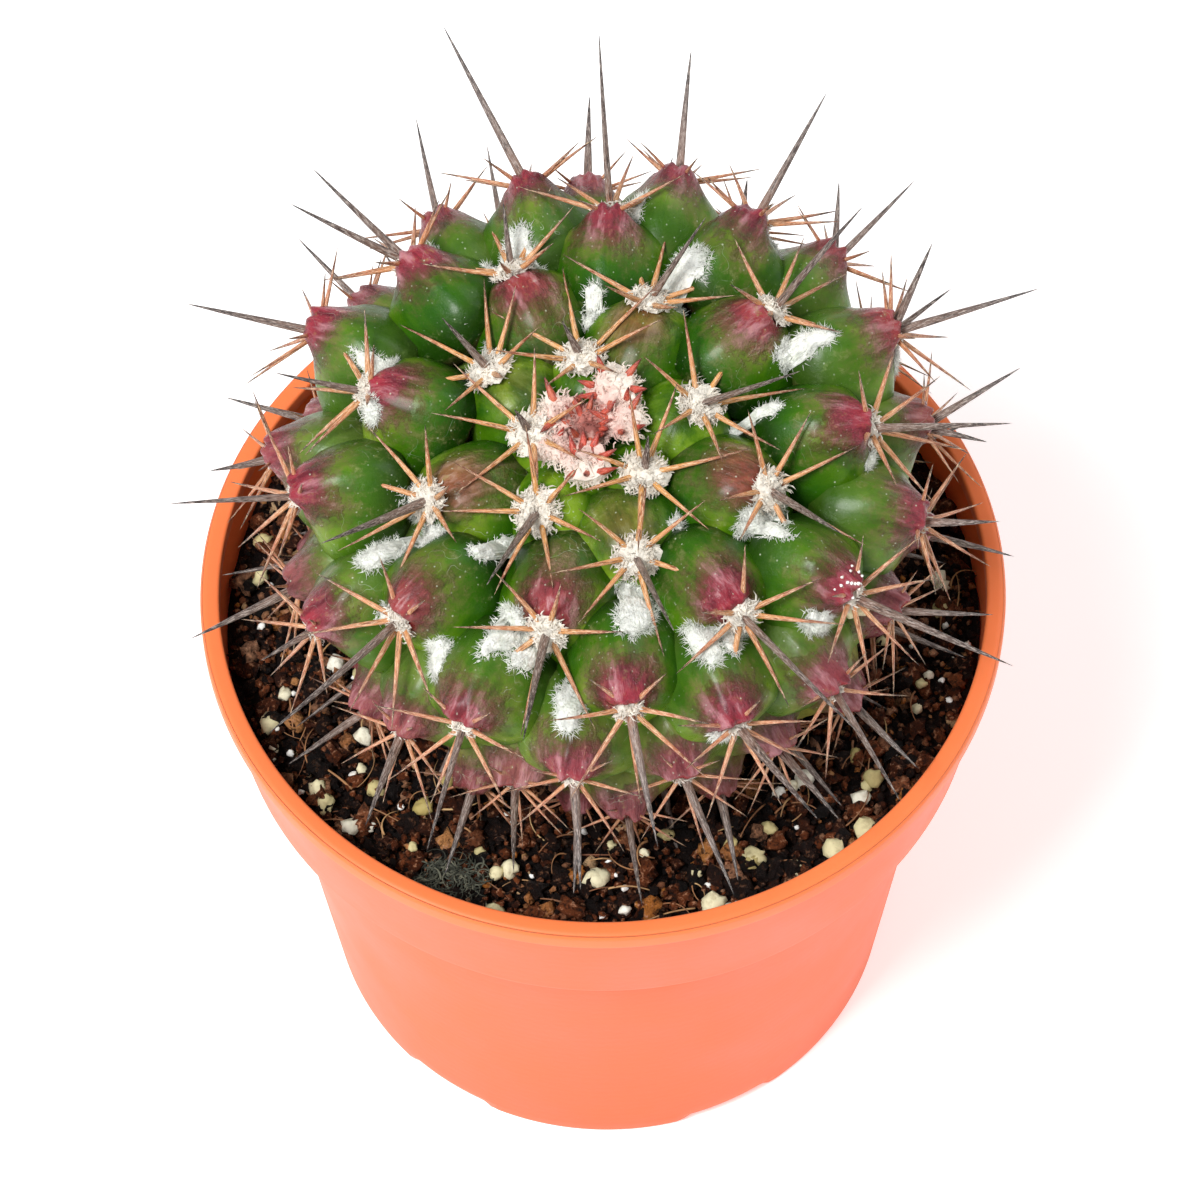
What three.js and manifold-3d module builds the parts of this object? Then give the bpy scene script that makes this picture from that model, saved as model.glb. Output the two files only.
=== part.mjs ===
// A round, nipple-bodied cactus in a plastic nursery pot filled with potting mix.
// Millimetres, +Z up. The origin is the middle of the pot's foot, on the surface it stands on.
import * as THREE from 'three';
import { mergeVertices } from 'three/addons/utils/BufferGeometryUtils.js';
import Module from 'manifold-3d';

const wasm = await Module();
wasm.setup();

// ---- Driving dimensions ----

// Space kept between pieces that lie against each other.
const gap = 0.3;

const potHeight = 94;
const rimRadius = 60;
const lipWidth = 2.9;
const lipHeight = 3.2;
const potWall = 1.7;
const collarHeight = 23.5;
const collarFootRadius = 56.3;
const bodyTopRadius = 51.8;
const baseRadius = 44.1;
const floorThickness = 2.2;
const footHeight = 3;
const footWidth = 3.2;
const edgeRound = 0.8;
const potSegments = 44;

// The foot ring is interrupted by shallow recesses with sloped ends.
const recessCount = 6;
const recessDepth = 2.2;
const recessLength = 15;
const recessSlope = 1.4;
const firstRecessTurn = 54.5;

const drainHoleCount = 5;
const drainHoleRadius = 4;
const drainRingRadius = 27;

// The mix lies this far below the rim, with a slightly lumpy surface.
const mixDepthBelowRim = 9.5;
const mixLump = 0.6;
const mixRise = 1;

// The root neck stands in the mix; the globe above it stays clear of the surface.
const neckTopRadius = 25;
const neckFootRadius = 17;
const neckDepth = 12;

// The globe sits off the pot's axis and leans towards the front left.
const globeHeight = 47;
const globeOffset = new THREE.Vector2(2.1, 2.4);
const leanFront = 6.8;
const leanLeft = 5.2;
const heartBelowTop = 31;
const coreBottom = 52;

// Tubercles follow one spiral: each is the golden angle further round than the last.
const tubercleCount = 74;
const spiralTurn = 137.51;
const spiralStart = 265.5;
const tubercleLength = 13;
const tubercleRadius = 7.7;
const tubercleTipRadius = 2.1;
const tubercleSides = 6;
const coreShare = 0.7;
const coreSides = 16;
const youngestScale = 0.36;
const scalePerStep = 0.065;
const oldestWear = 0.005;
// Where the tips stand: place on the spiral, distance from the axis, drop below the globe's top.
const tipCurve = [
  [0, 5.5, 0],
  [3, 10, 0.5],
  [7, 18, 1],
  [12, 29, 1.5],
  [19, 39.5, 3.5],
  [27, 46, 8],
  [36, 47.5, 15.5],
  [46, 45.5, 21.5],
  [56, 44, 34.5],
  [66, 39, 42],
  [76, 33, 47],
];

// One areole on each tubercle: a wool pad with a star of radial spines and one or two centrals.
const firstAreole = 2;
const lastAreole = 46;
const padRadius = 3.4;
const oldPadRadius = 1.9;
const padThickness = 1.8;
const padSides = 6;
const radialCount = 7;
const radialLength = 11.5;
const radialBaseRadius = 0.42;
const radialSpread = 66;
const centralBaseRadius = 0.72;
const centralLength = 15;
const centralSides = 4;
const radialSides = 3;
const spineClearance = 1.5;
const shortestSpine = 3;

// Centrals that differ from the usual one: length, rise above level and turn from straight out.
const centralSpines = {
  2: [[7, 75, 20]],
  3: [[7, 75, 100]],
  4: [[8, 70, 60]],
  5: [[28, 35, 15]],
  6: [[24, 50, -40]],
  7: [[13, 60, 25]],
  8: [[28, 35, -5]],
  9: [[17, 55, -35]],
  10: [[24, 30, 25]],
  11: [[22, 35, -35]],
  12: [[11, 55, -10]],
  13: [[27, 25, 5]],
  14: [[22, 50, -5]],
  15: [[15, 30, 25]],
  16: [[33, 20, -5]],
  17: [[27, 45, 10]],
  18: [[30, 15, 10]],
  19: [[24, 30, -20]],
  20: [[20, 30, 15], [20, 25, 35]],
  21: [[20, -20, 5]],
  22: [[22, 40, -5]],
  23: [[20, 20, 10]],
  24: [[30, 20, -5]],
  25: [[27, 30, 20]],
  26: [[20, -5, 10]],
  27: [[23, 25, -20], [15, 50, 30]],
  28: [[20, 15, 25]],
  29: [[22, 15, 5]],
  30: [[20, 30, 10]],
  31: [[10, 10, 10]],
  32: [[13, 25, -5]],
  33: [[17, 25, -15]],
  34: [[16, -20, 10]],
  35: [[17, 25, -5], [12, 35, 40]],
  36: [[10, 0, 25]],
  37: [[23, 10, -20]],
  39: [[17, 5, 20]],
  40: [[17, 30, 10], [10, 10, -30]],
  42: [[19, -15, 10]],
  43: [[8, 25, 20]],
  44: [[18, 0, 15]],
};

const crownWoolRadius = 3.2;
const crownWoolHeight = 3.4;

// Loose grains on the mix: direction from the pot's axis, distance from it, and radius.
const grains = [
  [287, 52, 1.9],
  [315, 53.5, 1.8],
  [309, 53, 2],
  [268, 45.5, 1.9],
  [252, 53.5, 1.8],
  [200, 53, 1.8],
  [218, 52.5, 1.6],
  [297, 47.5, 1.7],
];
const mossPlace = [243, 50.5];
const mossRadii = [5.2, 3.8, 2.2];

// ---- Solids ----

function solidFrom(geometry) {
  const bare = geometry.index ? geometry.toNonIndexed() : geometry.clone();
  for (const name of Object.keys(bare.attributes)) {
    if (name !== 'position') bare.deleteAttribute(name);
  }
  const welded = mergeVertices(bare, 1e-4);
  const index = welded.index.array;
  const triangles = [];
  for (let i = 0; i < index.length; i += 3) {
    const [a, b, c] = [index[i], index[i + 1], index[i + 2]];
    if (a !== b && b !== c && c !== a) triangles.push(a, b, c);
  }
  return new wasm.Manifold(new wasm.Mesh({
    numProp: 3,
    vertProperties: new Float32Array(welded.attributes.position.array),
    triVerts: new Uint32Array(triangles),
  }));
}

function geometryFrom(solid) {
  const mesh = solid.getMesh();
  const geometry = new THREE.BufferGeometry();
  geometry.setAttribute('position', new THREE.BufferAttribute(mesh.vertProperties, 3));
  geometry.setIndex(new THREE.BufferAttribute(mesh.triVerts, 1));
  geometry.computeVertexNormals();
  return geometry;
}

// Three's lathe turns about Y; this one turns a profile of [radius, height] about Z.
function lathe(profile, segments) {
  const points = profile.map(([radius, height]) => new THREE.Vector2(radius, height));
  return new THREE.LatheGeometry(points, segments).rotateX(Math.PI / 2);
}

function aimed(geometry, from, direction) {
  const turn = new THREE.Quaternion().setFromUnitVectors(new THREE.Vector3(0, 0, 1), direction);
  return geometry.applyQuaternion(turn).translate(from.x, from.y, from.z);
}

// A repeatable number from 0 to 1 for a place on the spiral and a purpose.
function chance(place, purpose) {
  const wave = Math.sin(place * 12.9898 + purpose * 78.233) * 43758.5453;
  return wave - Math.floor(wave);
}

function material(color, roughness) {
  return new THREE.MeshStandardMaterial({ color, roughness, metalness: 0 });
}

const part = new THREE.Group();

function addPiece(name, solid, look) {
  const mesh = new THREE.Mesh(geometryFrom(solid), look);
  mesh.name = name;
  part.add(mesh);
}

function around(turn, radius, height) {
  const angle = THREE.MathUtils.degToRad(turn);
  return new THREE.Vector3(radius * Math.cos(angle), radius * Math.sin(angle), height);
}

// ---- Pot ----

const collarBottom = potHeight - collarHeight;
const floorTop = footHeight + floorThickness;

// The wall's inside face, from the floor up to the underside of the lip.
const innerWall = [
  [baseRadius - potWall, floorTop],
  [bodyTopRadius - potWall, collarBottom + potWall],
  [collarFootRadius - potWall, collarBottom + 2 * potWall],
  [rimRadius - potWall, potHeight - lipHeight],
];

function innerWallRadius(height) {
  const upper = innerWall.findIndex((point) => point[1] >= height);
  const [lowRadius, lowHeight] = innerWall[upper - 1];
  const [highRadius, highHeight] = innerWall[upper];
  return lowRadius + (highRadius - lowRadius) * (height - lowHeight) / (highHeight - lowHeight);
}

function potSolid() {
  const lipInner = rimRadius - lipWidth;
  const shell = solidFrom(lathe([
    [0, footHeight],
    [baseRadius - footWidth, footHeight],
    [baseRadius - footWidth, 0],
    [baseRadius - edgeRound, 0],
    [baseRadius, edgeRound],
    [bodyTopRadius, collarBottom],
    [collarFootRadius - edgeRound, collarBottom],
    [collarFootRadius, collarBottom + edgeRound],
    [rimRadius, potHeight - edgeRound],
    [rimRadius - edgeRound, potHeight],
    [lipInner + edgeRound, potHeight],
    [lipInner, potHeight - edgeRound],
    [lipInner, potHeight - lipHeight + edgeRound],
    ...[...innerWall].reverse(),
    [0, floorTop],
  ], potSegments));
  return drainHoles().reduce((pot, hole) => pot.subtract(hole), shell.subtract(footRecesses()));
}

function footRecesses() {
  const outline = new THREE.Shape([
    new THREE.Vector2(-recessLength / 2 - recessSlope, -1),
    new THREE.Vector2(recessLength / 2 + recessSlope, -1),
    new THREE.Vector2(recessLength / 2 - recessSlope, recessDepth),
    new THREE.Vector2(-recessLength / 2 + recessSlope, recessDepth),
  ]);
  const reach = 3 * footWidth;
  const cutters = [];
  for (let i = 0; i < recessCount; i += 1) {
    const cutter = new THREE.ExtrudeGeometry(outline, { depth: reach, bevelEnabled: false });
    cutter.rotateX(Math.PI / 2);
    cutter.translate(0, baseRadius + footWidth, 0);
    cutter.rotateZ(THREE.MathUtils.degToRad(firstRecessTurn - 90 + i * 360 / recessCount));
    cutters.push(solidFrom(cutter));
  }
  return cutters.reduce((all, cutter) => all.add(cutter));
}

function drainHoles() {
  const holes = [];
  for (let i = 0; i < drainHoleCount; i += 1) {
    const place = around(90 + i * 360 / drainHoleCount, drainRingRadius, footHeight + floorThickness / 2);
    const hole = new THREE.CylinderGeometry(drainHoleRadius, drainHoleRadius, 3 * floorThickness, 12);
    holes.push(solidFrom(hole.rotateX(Math.PI / 2).translate(place.x, place.y, place.z)));
  }
  return holes;
}

// ---- Potting mix ----

const mixTop = potHeight - mixDepthBelowRim;
const mixRadius = innerWallRadius(mixTop - mixLump) - gap;

function mixHeightAt(x, y) {
  const rise = mixRise * (1 - Math.hypot(x, y) / mixRadius);
  return mixTop + rise + mixLump * Math.sin(0.35 * x + 0.9) * Math.cos(0.3 * y + 0.4);
}

function mixSolid() {
  const sides = innerWall.slice(0, 3).map(([radius, height]) => [radius - gap, height + gap]);
  const rings = [1, 0.88, 0.74, 0.6];
  const mix = lathe([
    [0, floorTop + gap],
    ...sides,
    ...rings.map((share) => [mixRadius * share, mixTop]),
    [0, mixTop],
  ], potSegments);
  const points = mix.attributes.position;
  for (let i = 0; i < points.count; i += 1) {
    if (points.getZ(i) < mixTop - gap) continue;
    points.setZ(i, mixHeightAt(points.getX(i), points.getY(i)));
  }
  return solidFrom(mix);
}

// ---- Cactus ----

const globeTop = potHeight + globeHeight - 2;
const lean = new THREE.Euler(
  THREE.MathUtils.degToRad(leanFront),
  THREE.MathUtils.degToRad(-leanLeft),
  0,
  'YXZ',
);
const pivotHeight = potHeight + 6;

// From the globe's own upright frame, with its top at zero, to where it stands in the pot.
function leaned(point) {
  const raised = new THREE.Vector3(point.x, point.y, point.z + globeTop - pivotHeight);
  raised.applyEuler(lean);
  return raised.add(new THREE.Vector3(globeOffset.x, globeOffset.y, pivotHeight));
}

const heart = leaned(new THREE.Vector3(0, 0, -heartBelowTop));

function alongTipCurve(place) {
  const upper = Math.max(1, tipCurve.findIndex((point) => point[0] >= place));
  const [lowPlace, lowRadius, lowDrop] = tipCurve[upper - 1];
  const [highPlace, highRadius, highDrop] = tipCurve[upper];
  const share = (place - lowPlace) / (highPlace - lowPlace);
  return [lowRadius + share * (highRadius - lowRadius), lowDrop + share * (highDrop - lowDrop)];
}

// The spiral isn't quite even: the body bulges a little to one side and across.
function spiralAngle(place) {
  const even = THREE.MathUtils.degToRad(spiralStart + spiralTurn * place);
  return even - 0.047 * Math.sin(even - 1.12) - 0.065 * Math.sin(2 * even - 3.52);
}

function tubercleScale(place) {
  const young = Math.min(1, youngestScale + scalePerStep * place);
  return young - Math.max(0, place - lastAreole) * oldestWear;
}

function tubercle(place) {
  const [radius, drop] = alongTipCurve(place);
  const turn = spiralAngle(place);
  const tip = leaned(new THREE.Vector3(radius * Math.cos(turn), radius * Math.sin(turn), -drop));
  const axis = tip.clone().sub(heart).normalize();
  return { place, turn, tip, axis, scale: tubercleScale(place) };
}

const tubercles = Array.from({ length: tubercleCount }, (unused, place) => tubercle(place));

// Half-width of a tubercle at each depth below its tip, for a full-grown one.
const tubercleShape = [
  [tubercleTipRadius, 0],
  [0.7 * tubercleRadius, 0.25 * tubercleLength],
  [tubercleRadius, 0.75 * tubercleLength],
];

function tubercleSolid({ place, tip, axis, scale }) {
  const rows = tubercleShape.map(([radius, depth]) => [radius * scale, -depth * scale]);
  const profile = [[0, rows.at(-1)[1]], ...rows.reverse(), [0, 0]];
  const body = lathe(profile, tubercleSides).rotateZ(2 * Math.PI * chance(place, 1));
  return solidFrom(aimed(body, tip, axis));
}

// The flesh that the tubercles grow from: the tip curve, drawn in towards the heart.
function coreSolid() {
  const middle = new THREE.Vector2(0, -heartBelowTop);
  const skin = tipCurve.map(([place, radius, drop]) => {
    const tip = new THREE.Vector2(radius, -drop);
    const inwards = middle.clone().sub(tip).setLength(coreShare * tubercleLength * tubercleScale(place));
    return tip.add(inwards).toArray();
  });
  const top = [0, skin[0][1]];
  const core = lathe([[0, -coreBottom], ...skin.reverse(), top], coreSides);
  core.translate(0, 0, globeTop - pivotHeight).rotateX(lean.x).rotateY(lean.y);
  return solidFrom(core.translate(globeOffset.x, globeOffset.y, pivotHeight));
}

function neckProfile(clearance) {
  return [
    [0, mixTop - neckDepth - clearance],
    [neckFootRadius + clearance, mixTop - neckDepth - clearance],
    [neckTopRadius + clearance, mixTop + 3 * mixRise],
    [0, heart.z],
  ];
}

function stemSolid() {
  const globe = wasm.Manifold.union([coreSolid(), ...tubercles.map(tubercleSolid)]);
  const clearOfMix = mixTop + mixRise + mixLump + gap;
  const slab = new THREE.CylinderGeometry(2 * rimRadius, 2 * rimRadius, potHeight, 8);
  slab.rotateX(Math.PI / 2).translate(0, 0, clearOfMix - potHeight / 2);
  return globe.subtract(solidFrom(slab)).add(solidFrom(lathe(neckProfile(0), 20)));
}

// ---- Areoles ----

function insideTubercle(point, { tip, axis, scale }, clearance) {
  const offset = point.clone().sub(tip);
  const depth = -offset.dot(axis);
  if (depth < -clearance || depth > tubercleLength * scale) return false;
  const off = offset.addScaledVector(axis, depth).length();
  const lower = Math.max(1, tubercleShape.findIndex(([, rowDepth]) => rowDepth * scale >= depth));
  const [upRadius, upDepth] = tubercleShape[lower - 1];
  const [downRadius, downDepth] = tubercleShape[lower];
  const share = Math.max(0, (depth / scale - upDepth) / (downDepth - upDepth));
  return off < (upRadius + Math.min(1, share) * (downRadius - upRadius)) * scale + clearance;
}

function touchesPotOrMix(point, clearance) {
  const radius = Math.hypot(point.x, point.y);
  if (point.z < mixHeightAt(point.x, point.y) + mixLump + clearance) return true;
  const inWall = radius > rimRadius - lipWidth - clearance && radius < rimRadius + clearance;
  return inWall && point.z < potHeight + clearance;
}

const placedSpines = [];
const placedPads = [];

// The part of a wanted spine that stays clear of everything already there; null if too short.
function clearSpine(place, from, direction, length) {
  const step = 0.5;
  const start = 2.5;
  let free = start;
  for (let along = start; along <= length; along += step) {
    const point = from.clone().addScaledVector(direction, along);
    const blocked = tubercles.some((other) => insideTubercle(point, other, spineClearance / 2))
      || touchesPotOrMix(point, spineClearance / 2)
      || placedPads.some((pad) => pad.place !== place && pad.middle.distanceTo(point) < pad.reach)
      || placedSpines.some((spine) => spine.place !== place && spine.distanceTo(point) < spineClearance);
    if (blocked) break;
    free = along;
  }
  const usable = free >= length - step ? length : free - spineClearance / 2;
  return usable < shortestSpine ? null : usable;
}

function rememberSpine(place, from, direction, length) {
  const line = new THREE.Line3(from, from.clone().addScaledVector(direction, length));
  const nearest = new THREE.Vector3();
  const distanceTo = (point) => line.closestPointToPoint(point, true, nearest).distanceTo(point);
  placedSpines.push({ place, distanceTo });
}

// A spine's cone, rooted inside its pad.
function spineCone(from, direction, length, { radius, sides }) {
  const cone = new THREE.ConeGeometry(radius, length, sides).rotateX(Math.PI / 2);
  return solidFrom(aimed(cone.translate(0, 0, length / 2), from, direction));
}

function centralsOf(tub) {
  const usual = THREE.MathUtils.radToDeg(Math.asin(tub.axis.z));
  const list = centralSpines[tub.place] ?? [[centralLength, usual, 30 * (chance(tub.place, 2) - 0.5)]];
  return list.map(([length, rise, turn]) => {
    const level = tub.turn + THREE.MathUtils.degToRad(turn);
    const up = THREE.MathUtils.degToRad(rise);
    const flat = Math.cos(up);
    const direction = new THREE.Vector3(flat * Math.cos(level), flat * Math.sin(level), Math.sin(up));
    return { direction, length, build: { radius: centralBaseRadius, sides: centralSides } };
  });
}

// Radials stand round the areole's axis, the longest pointing away from the crown.
function radialsOf(tub) {
  const downhill = new THREE.Vector3(0, 0, -1).addScaledVector(tub.axis, tub.axis.z).normalize();
  const across = new THREE.Vector3().crossVectors(tub.axis, downhill);
  const radials = [];
  for (let i = 0; i < radialCount; i += 1) {
    const round = (i + 0.5 * (chance(tub.place, 10 + i) - 0.5)) * 2 * Math.PI / radialCount;
    const spread = THREE.MathUtils.degToRad(radialSpread + 16 * (chance(tub.place, 20 + i) - 0.5));
    const sideways = downhill.clone().multiplyScalar(Math.cos(round));
    sideways.addScaledVector(across, Math.sin(round));
    const direction = tub.axis.clone().multiplyScalar(Math.cos(spread));
    direction.addScaledVector(sideways, Math.sin(spread));
    const length = radialLength * (1 + 0.15 * Math.cos(round) + 0.2 * (chance(tub.place, 30 + i) - 0.5));
    radials.push({ direction, length, build: { radius: radialBaseRadius, sides: radialSides } });
  }
  return radials;
}

function padSize(tub) {
  const age = Math.min(1, Math.max(0, (tub.place - 10) / 12));
  return THREE.MathUtils.lerp(padRadius, oldPadRadius, age);
}

function padSolid(tub, radius) {
  const pad = lathe([
    [0, gap],
    [radius, gap],
    [0.7 * radius, gap + padThickness],
    [0, gap + padThickness],
  ], padSides);
  return solidFrom(aimed(pad, tub.tip, tub.axis));
}

function spineCluster(tub) {
  const root = tub.tip.clone().addScaledVector(tub.axis, gap + 0.55 * padThickness);
  const solids = [padSolid(tub, padSize(tub))];
  for (const { direction, length, build } of [...centralsOf(tub), ...radialsOf(tub)]) {
    const clearLength = clearSpine(tub.place, root, direction, length);
    if (clearLength === null) continue;
    rememberSpine(tub.place, root, direction, clearLength);
    solids.push(spineCone(root, direction, clearLength, build));
  }
  return wasm.Manifold.union(solids);
}

// ---- Loose pieces on the mix ----

function pebble(turn, distance, radii, detail) {
  const place = around(turn, distance, 0);
  const height = mixHeightAt(place.x, place.y) + 0.3 * radii[2];
  const shape = new THREE.IcosahedronGeometry(1, detail);
  return (growth) => {
    const grown = shape.clone().scale(...radii.map((radius) => radius + growth));
    grown.rotateZ(THREE.MathUtils.degToRad(turn)).translate(place.x, place.y, height);
    return solidFrom(grown);
  };
}

// ---- Assembly ----

const loose = grains.map(([turn, distance, radius], i) => ({
  name: `perlite_grain_${i + 1}`,
  shape: pebble(turn, distance, [radius, 0.8 * radius, 0.75 * radius], 0),
  look: material(0xe8dfb8, 0.85),
}));
loose.push({ name: 'moss_clump', shape: pebble(...mossPlace, mossRadii, 1), look: material(0x4a4a38, 0.95) });

const dents = [...loose.map((piece) => piece.shape(gap)), solidFrom(lathe(neckProfile(gap), 20))];
addPiece('pot', potSolid(), material(0xff8a5c, 0.45));
addPiece('potting_mix', dents.reduce((mix, dent) => mix.subtract(dent), mixSolid()), material(0x2c1a12, 0.95));
addPiece('cactus_stem', stemSolid(), material(0x5c8f3a, 0.5));

const crownRoot = leaned(new THREE.Vector3(0, 0, gap));
const crownAxis = new THREE.Vector3(0, 0, 1).applyEuler(lean);
const crownProfile = [[0, 0], [crownWoolRadius, 0.2 * crownWoolHeight], [0, crownWoolHeight]];
const crownWool = aimed(lathe(crownProfile, padSides), crownRoot, crownAxis);
addPiece('crown_wool', solidFrom(crownWool), material(0xe8a08c, 0.9));

for (const tub of tubercles.slice(firstAreole, lastAreole + 1)) {
  placedPads.push({ place: tub.place, middle: tub.tip, reach: padSize(tub) + spineClearance });
}
for (const tub of tubercles.slice(firstAreole, lastAreole + 1)) {
  const name = `spine_cluster_${String(tub.place).padStart(2, '0')}`;
  addPiece(name, spineCluster(tub), material(0xa8755a, 0.6));
}

for (const { name, shape, look } of loose) addPiece(name, shape(0), look);

export default part;
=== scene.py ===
import math
import random

import bmesh
import bpy
from mathutils import Matrix, Vector, noise
from mathutils.bvhtree import BVHTree


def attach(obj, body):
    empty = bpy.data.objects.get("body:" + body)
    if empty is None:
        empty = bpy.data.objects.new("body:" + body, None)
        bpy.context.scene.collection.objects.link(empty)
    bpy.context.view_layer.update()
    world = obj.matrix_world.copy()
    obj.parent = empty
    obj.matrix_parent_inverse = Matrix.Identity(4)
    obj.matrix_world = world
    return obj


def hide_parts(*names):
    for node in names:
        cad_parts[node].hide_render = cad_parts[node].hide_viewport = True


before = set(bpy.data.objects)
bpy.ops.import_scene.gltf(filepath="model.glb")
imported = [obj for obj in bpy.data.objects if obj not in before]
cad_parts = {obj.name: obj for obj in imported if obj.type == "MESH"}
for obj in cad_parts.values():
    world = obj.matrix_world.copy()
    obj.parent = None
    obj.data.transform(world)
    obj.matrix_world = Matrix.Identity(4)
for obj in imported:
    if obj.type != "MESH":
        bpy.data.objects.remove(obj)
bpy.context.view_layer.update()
mm = 0.001
clusterNodes = [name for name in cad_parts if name.startswith("spine_cluster")]
grainNodes = [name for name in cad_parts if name.startswith("perlite_grain")]

# helpers shared by every piece


def addPiece(name, bm, materials, nodes=(), smooth=True):
    # everything is modelled in millimetres and scaled to metres here
    bmesh.ops.transform(bm, matrix=Matrix.Scale(mm, 4), verts=bm.verts)
    mesh = bpy.data.meshes.new(name)
    bm.to_mesh(mesh)
    bm.free()
    for polygon in mesh.polygons:
        polygon.use_smooth = smooth
    for material in materials:
        mesh.materials.append(material)
    piece = bpy.data.objects.new(name, mesh)
    bpy.context.scene.collection.objects.link(piece)
    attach(piece, "root")
    if nodes:
        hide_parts(*nodes)
    print(f"{name}: {len(mesh.polygons)} faces")
    return piece


def spunShape(profile, steps):
    # turns a chain of (radius, height) points once round Z
    bm = bmesh.new()
    verts = [bm.verts.new((radius, 0, height)) for radius, height in profile]
    edges = [bm.edges.new(pair) for pair in zip(verts, verts[1:])]
    bmesh.ops.spin(bm, geom=verts + edges, cent=(0, 0, 0), axis=(0, 0, 1),
                   angle=2 * math.pi, steps=steps, use_merge=True)
    bmesh.ops.remove_doubles(bm, verts=bm.verts, dist=1e-4)
    bmesh.ops.dissolve_degenerate(bm, edges=bm.edges, dist=1e-4)
    bmesh.ops.recalc_face_normals(bm, faces=bm.faces)
    return bm


def asTemplate(bm, name):
    mesh = bpy.data.meshes.new(name)
    bm.to_mesh(mesh)
    bm.free()
    return mesh


def stamp(bm, template):
    # adds a copy of the template and returns its new vertices
    start = len(bm.verts)
    bm.from_mesh(template)
    bm.verts.ensure_lookup_table()
    return bm.verts[start:]


def turnTo(direction, spin=0.0):
    return direction.to_track_quat("Z", "Y").to_matrix() @ Matrix.Rotation(spin, 3, "Z")


def blendBetween(low, high, share):
    return low + (high - low) * min(1.0, max(0.0, share))


def easeBetween(value, start, end):
    share = min(1.0, max(0.0, (value - start) / (end - start)))
    return share * share * (3 - 2 * share)


# material helpers


def newMaterial(name):
    material = bpy.data.materials.new(name)
    material.use_nodes = True
    return material, material.node_tree, material.node_tree.nodes["Principled BSDF"]


def feed(tree, node, values):
    # links what comes from another node, and sets the rest as constants on the node's own inputs
    for key, value in values.items():
        if isinstance(value, bpy.types.NodeSocket):
            tree.links.new(value, node.inputs[key])
        else:
            node.inputs[key].default_value = value


def addNode(tree, kind, settings=None, **inputs):
    # i0 and i1 stand for inputs that are known by their number
    node = tree.nodes.new(kind)
    for key, value in (settings or {}).items():
        setattr(node, key, value)
    feed(tree, node, {{"i0": 0, "i1": 1}.get(key, key): value for key, value in inputs.items()})
    return node


def objectCoords(tree):
    return addNode(tree, "ShaderNodeTexCoord").outputs["Object"]


def attribute(tree, name, output="Fac"):
    return addNode(tree, "ShaderNodeAttribute", {"attribute_name": name}).outputs[output]


def noiseField(tree, coords, scale, detail=3.0, roughness=0.55):
    field = addNode(tree, "ShaderNodeTexNoise", Vector=coords, Scale=scale, Detail=detail,
                    Roughness=roughness)
    return field.outputs["Fac"]


def remap(tree, value, low, high, toLow=0.0, toHigh=1.0):
    node = addNode(tree, "ShaderNodeMapRange", {"clamp": True}, Value=value)
    feed(tree, node, {"From Min": low, "From Max": high, "To Min": toLow, "To Max": toHigh})
    return node.outputs["Result"]


def combine(tree, operation, first, second=0.0):
    return addNode(tree, "ShaderNodeMath", {"operation": operation}, i0=first, i1=second).outputs[0]


def times(tree, first, second):
    return combine(tree, "MULTIPLY", first, second)


def plus(tree, first, second):
    return combine(tree, "ADD", first, second)


def mixColour(tree, share, first, second):
    node = addNode(tree, "ShaderNodeMix", {"data_type": "RGBA"})
    first, second = (c if isinstance(c, bpy.types.NodeSocket) else (*c, 1.0) for c in (first, second))
    feed(tree, node, {0: share, 6: first, 7: second})
    return node.outputs[2]


def layered(tree, colour, layers):
    # lays colours over one another, each where its field runs from low to high, up to its share
    for field, low, high, share, over in layers:
        colour = mixColour(tree, remap(tree, field, low, high, 0, share), colour, over)
    return colour


def colourRamp(tree, value, stops):
    node = addNode(tree, "ShaderNodeValToRGB", Fac=value)
    elements = node.color_ramp.elements
    while len(elements) < len(stops):
        elements.new(1.0)
    for element, (place, colour) in zip(elements, stops):
        element.position = place
        element.color = (*colour, 1.0)
    return node.outputs["Color"]


def addBump(tree, shader, height, strength, distance):
    bump = addNode(tree, "ShaderNodeBump", Strength=strength, Distance=distance, Height=height)
    tree.links.new(bump.outputs["Normal"], shader.inputs["Normal"])


# camera

viewpoint = {
    "elevation": 58.58,
    "distance": 0.9056,
    "roll": -0.98,
    "focalLength": 181.7,
    "aim": (-0.00045, 0.0, 0.08912),
}


def addCamera():
    elevation = math.radians(viewpoint["elevation"])
    roll = math.radians(viewpoint["roll"])
    forward = Vector((0, math.cos(elevation), -math.sin(elevation)))
    levelUp = Vector((0, math.sin(elevation), math.cos(elevation)))
    levelRight = Vector((1, 0, 0))
    right = math.cos(roll) * levelRight + math.sin(roll) * levelUp
    up = -math.sin(roll) * levelRight + math.cos(roll) * levelUp
    camera = bpy.data.objects.new("camera", bpy.data.cameras.new("camera"))
    camera.data.lens = viewpoint["focalLength"]
    camera.data.clip_end = 20
    axes = Matrix((right, up, -forward)).transposed().to_4x4()
    place = Vector(viewpoint["aim"]) - viewpoint["distance"] * forward
    camera.matrix_world = Matrix.Translation(place) @ axes
    bpy.context.scene.collection.objects.link(camera)
    bpy.context.scene.camera = camera


# studio

studio = {
    "skyColour": (1.0, 1.0, 1.0),
    "skyStrength": 0.4,
    "floorColour": (0.95, 0.95, 0.95),
    "floorGlow": 0.42,
    "keyPower": 17.0,
    "keyPlace": (-0.45, -0.5, 1.15),
    "keySize": 0.4,
    "fillPower": 4.0,
    "fillPlace": (0.75, 0.55, 0.85),
    "fillSize": 0.8,
    "aimHeight": 0.08,
    "floorHalfWidth": 4,
}


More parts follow.
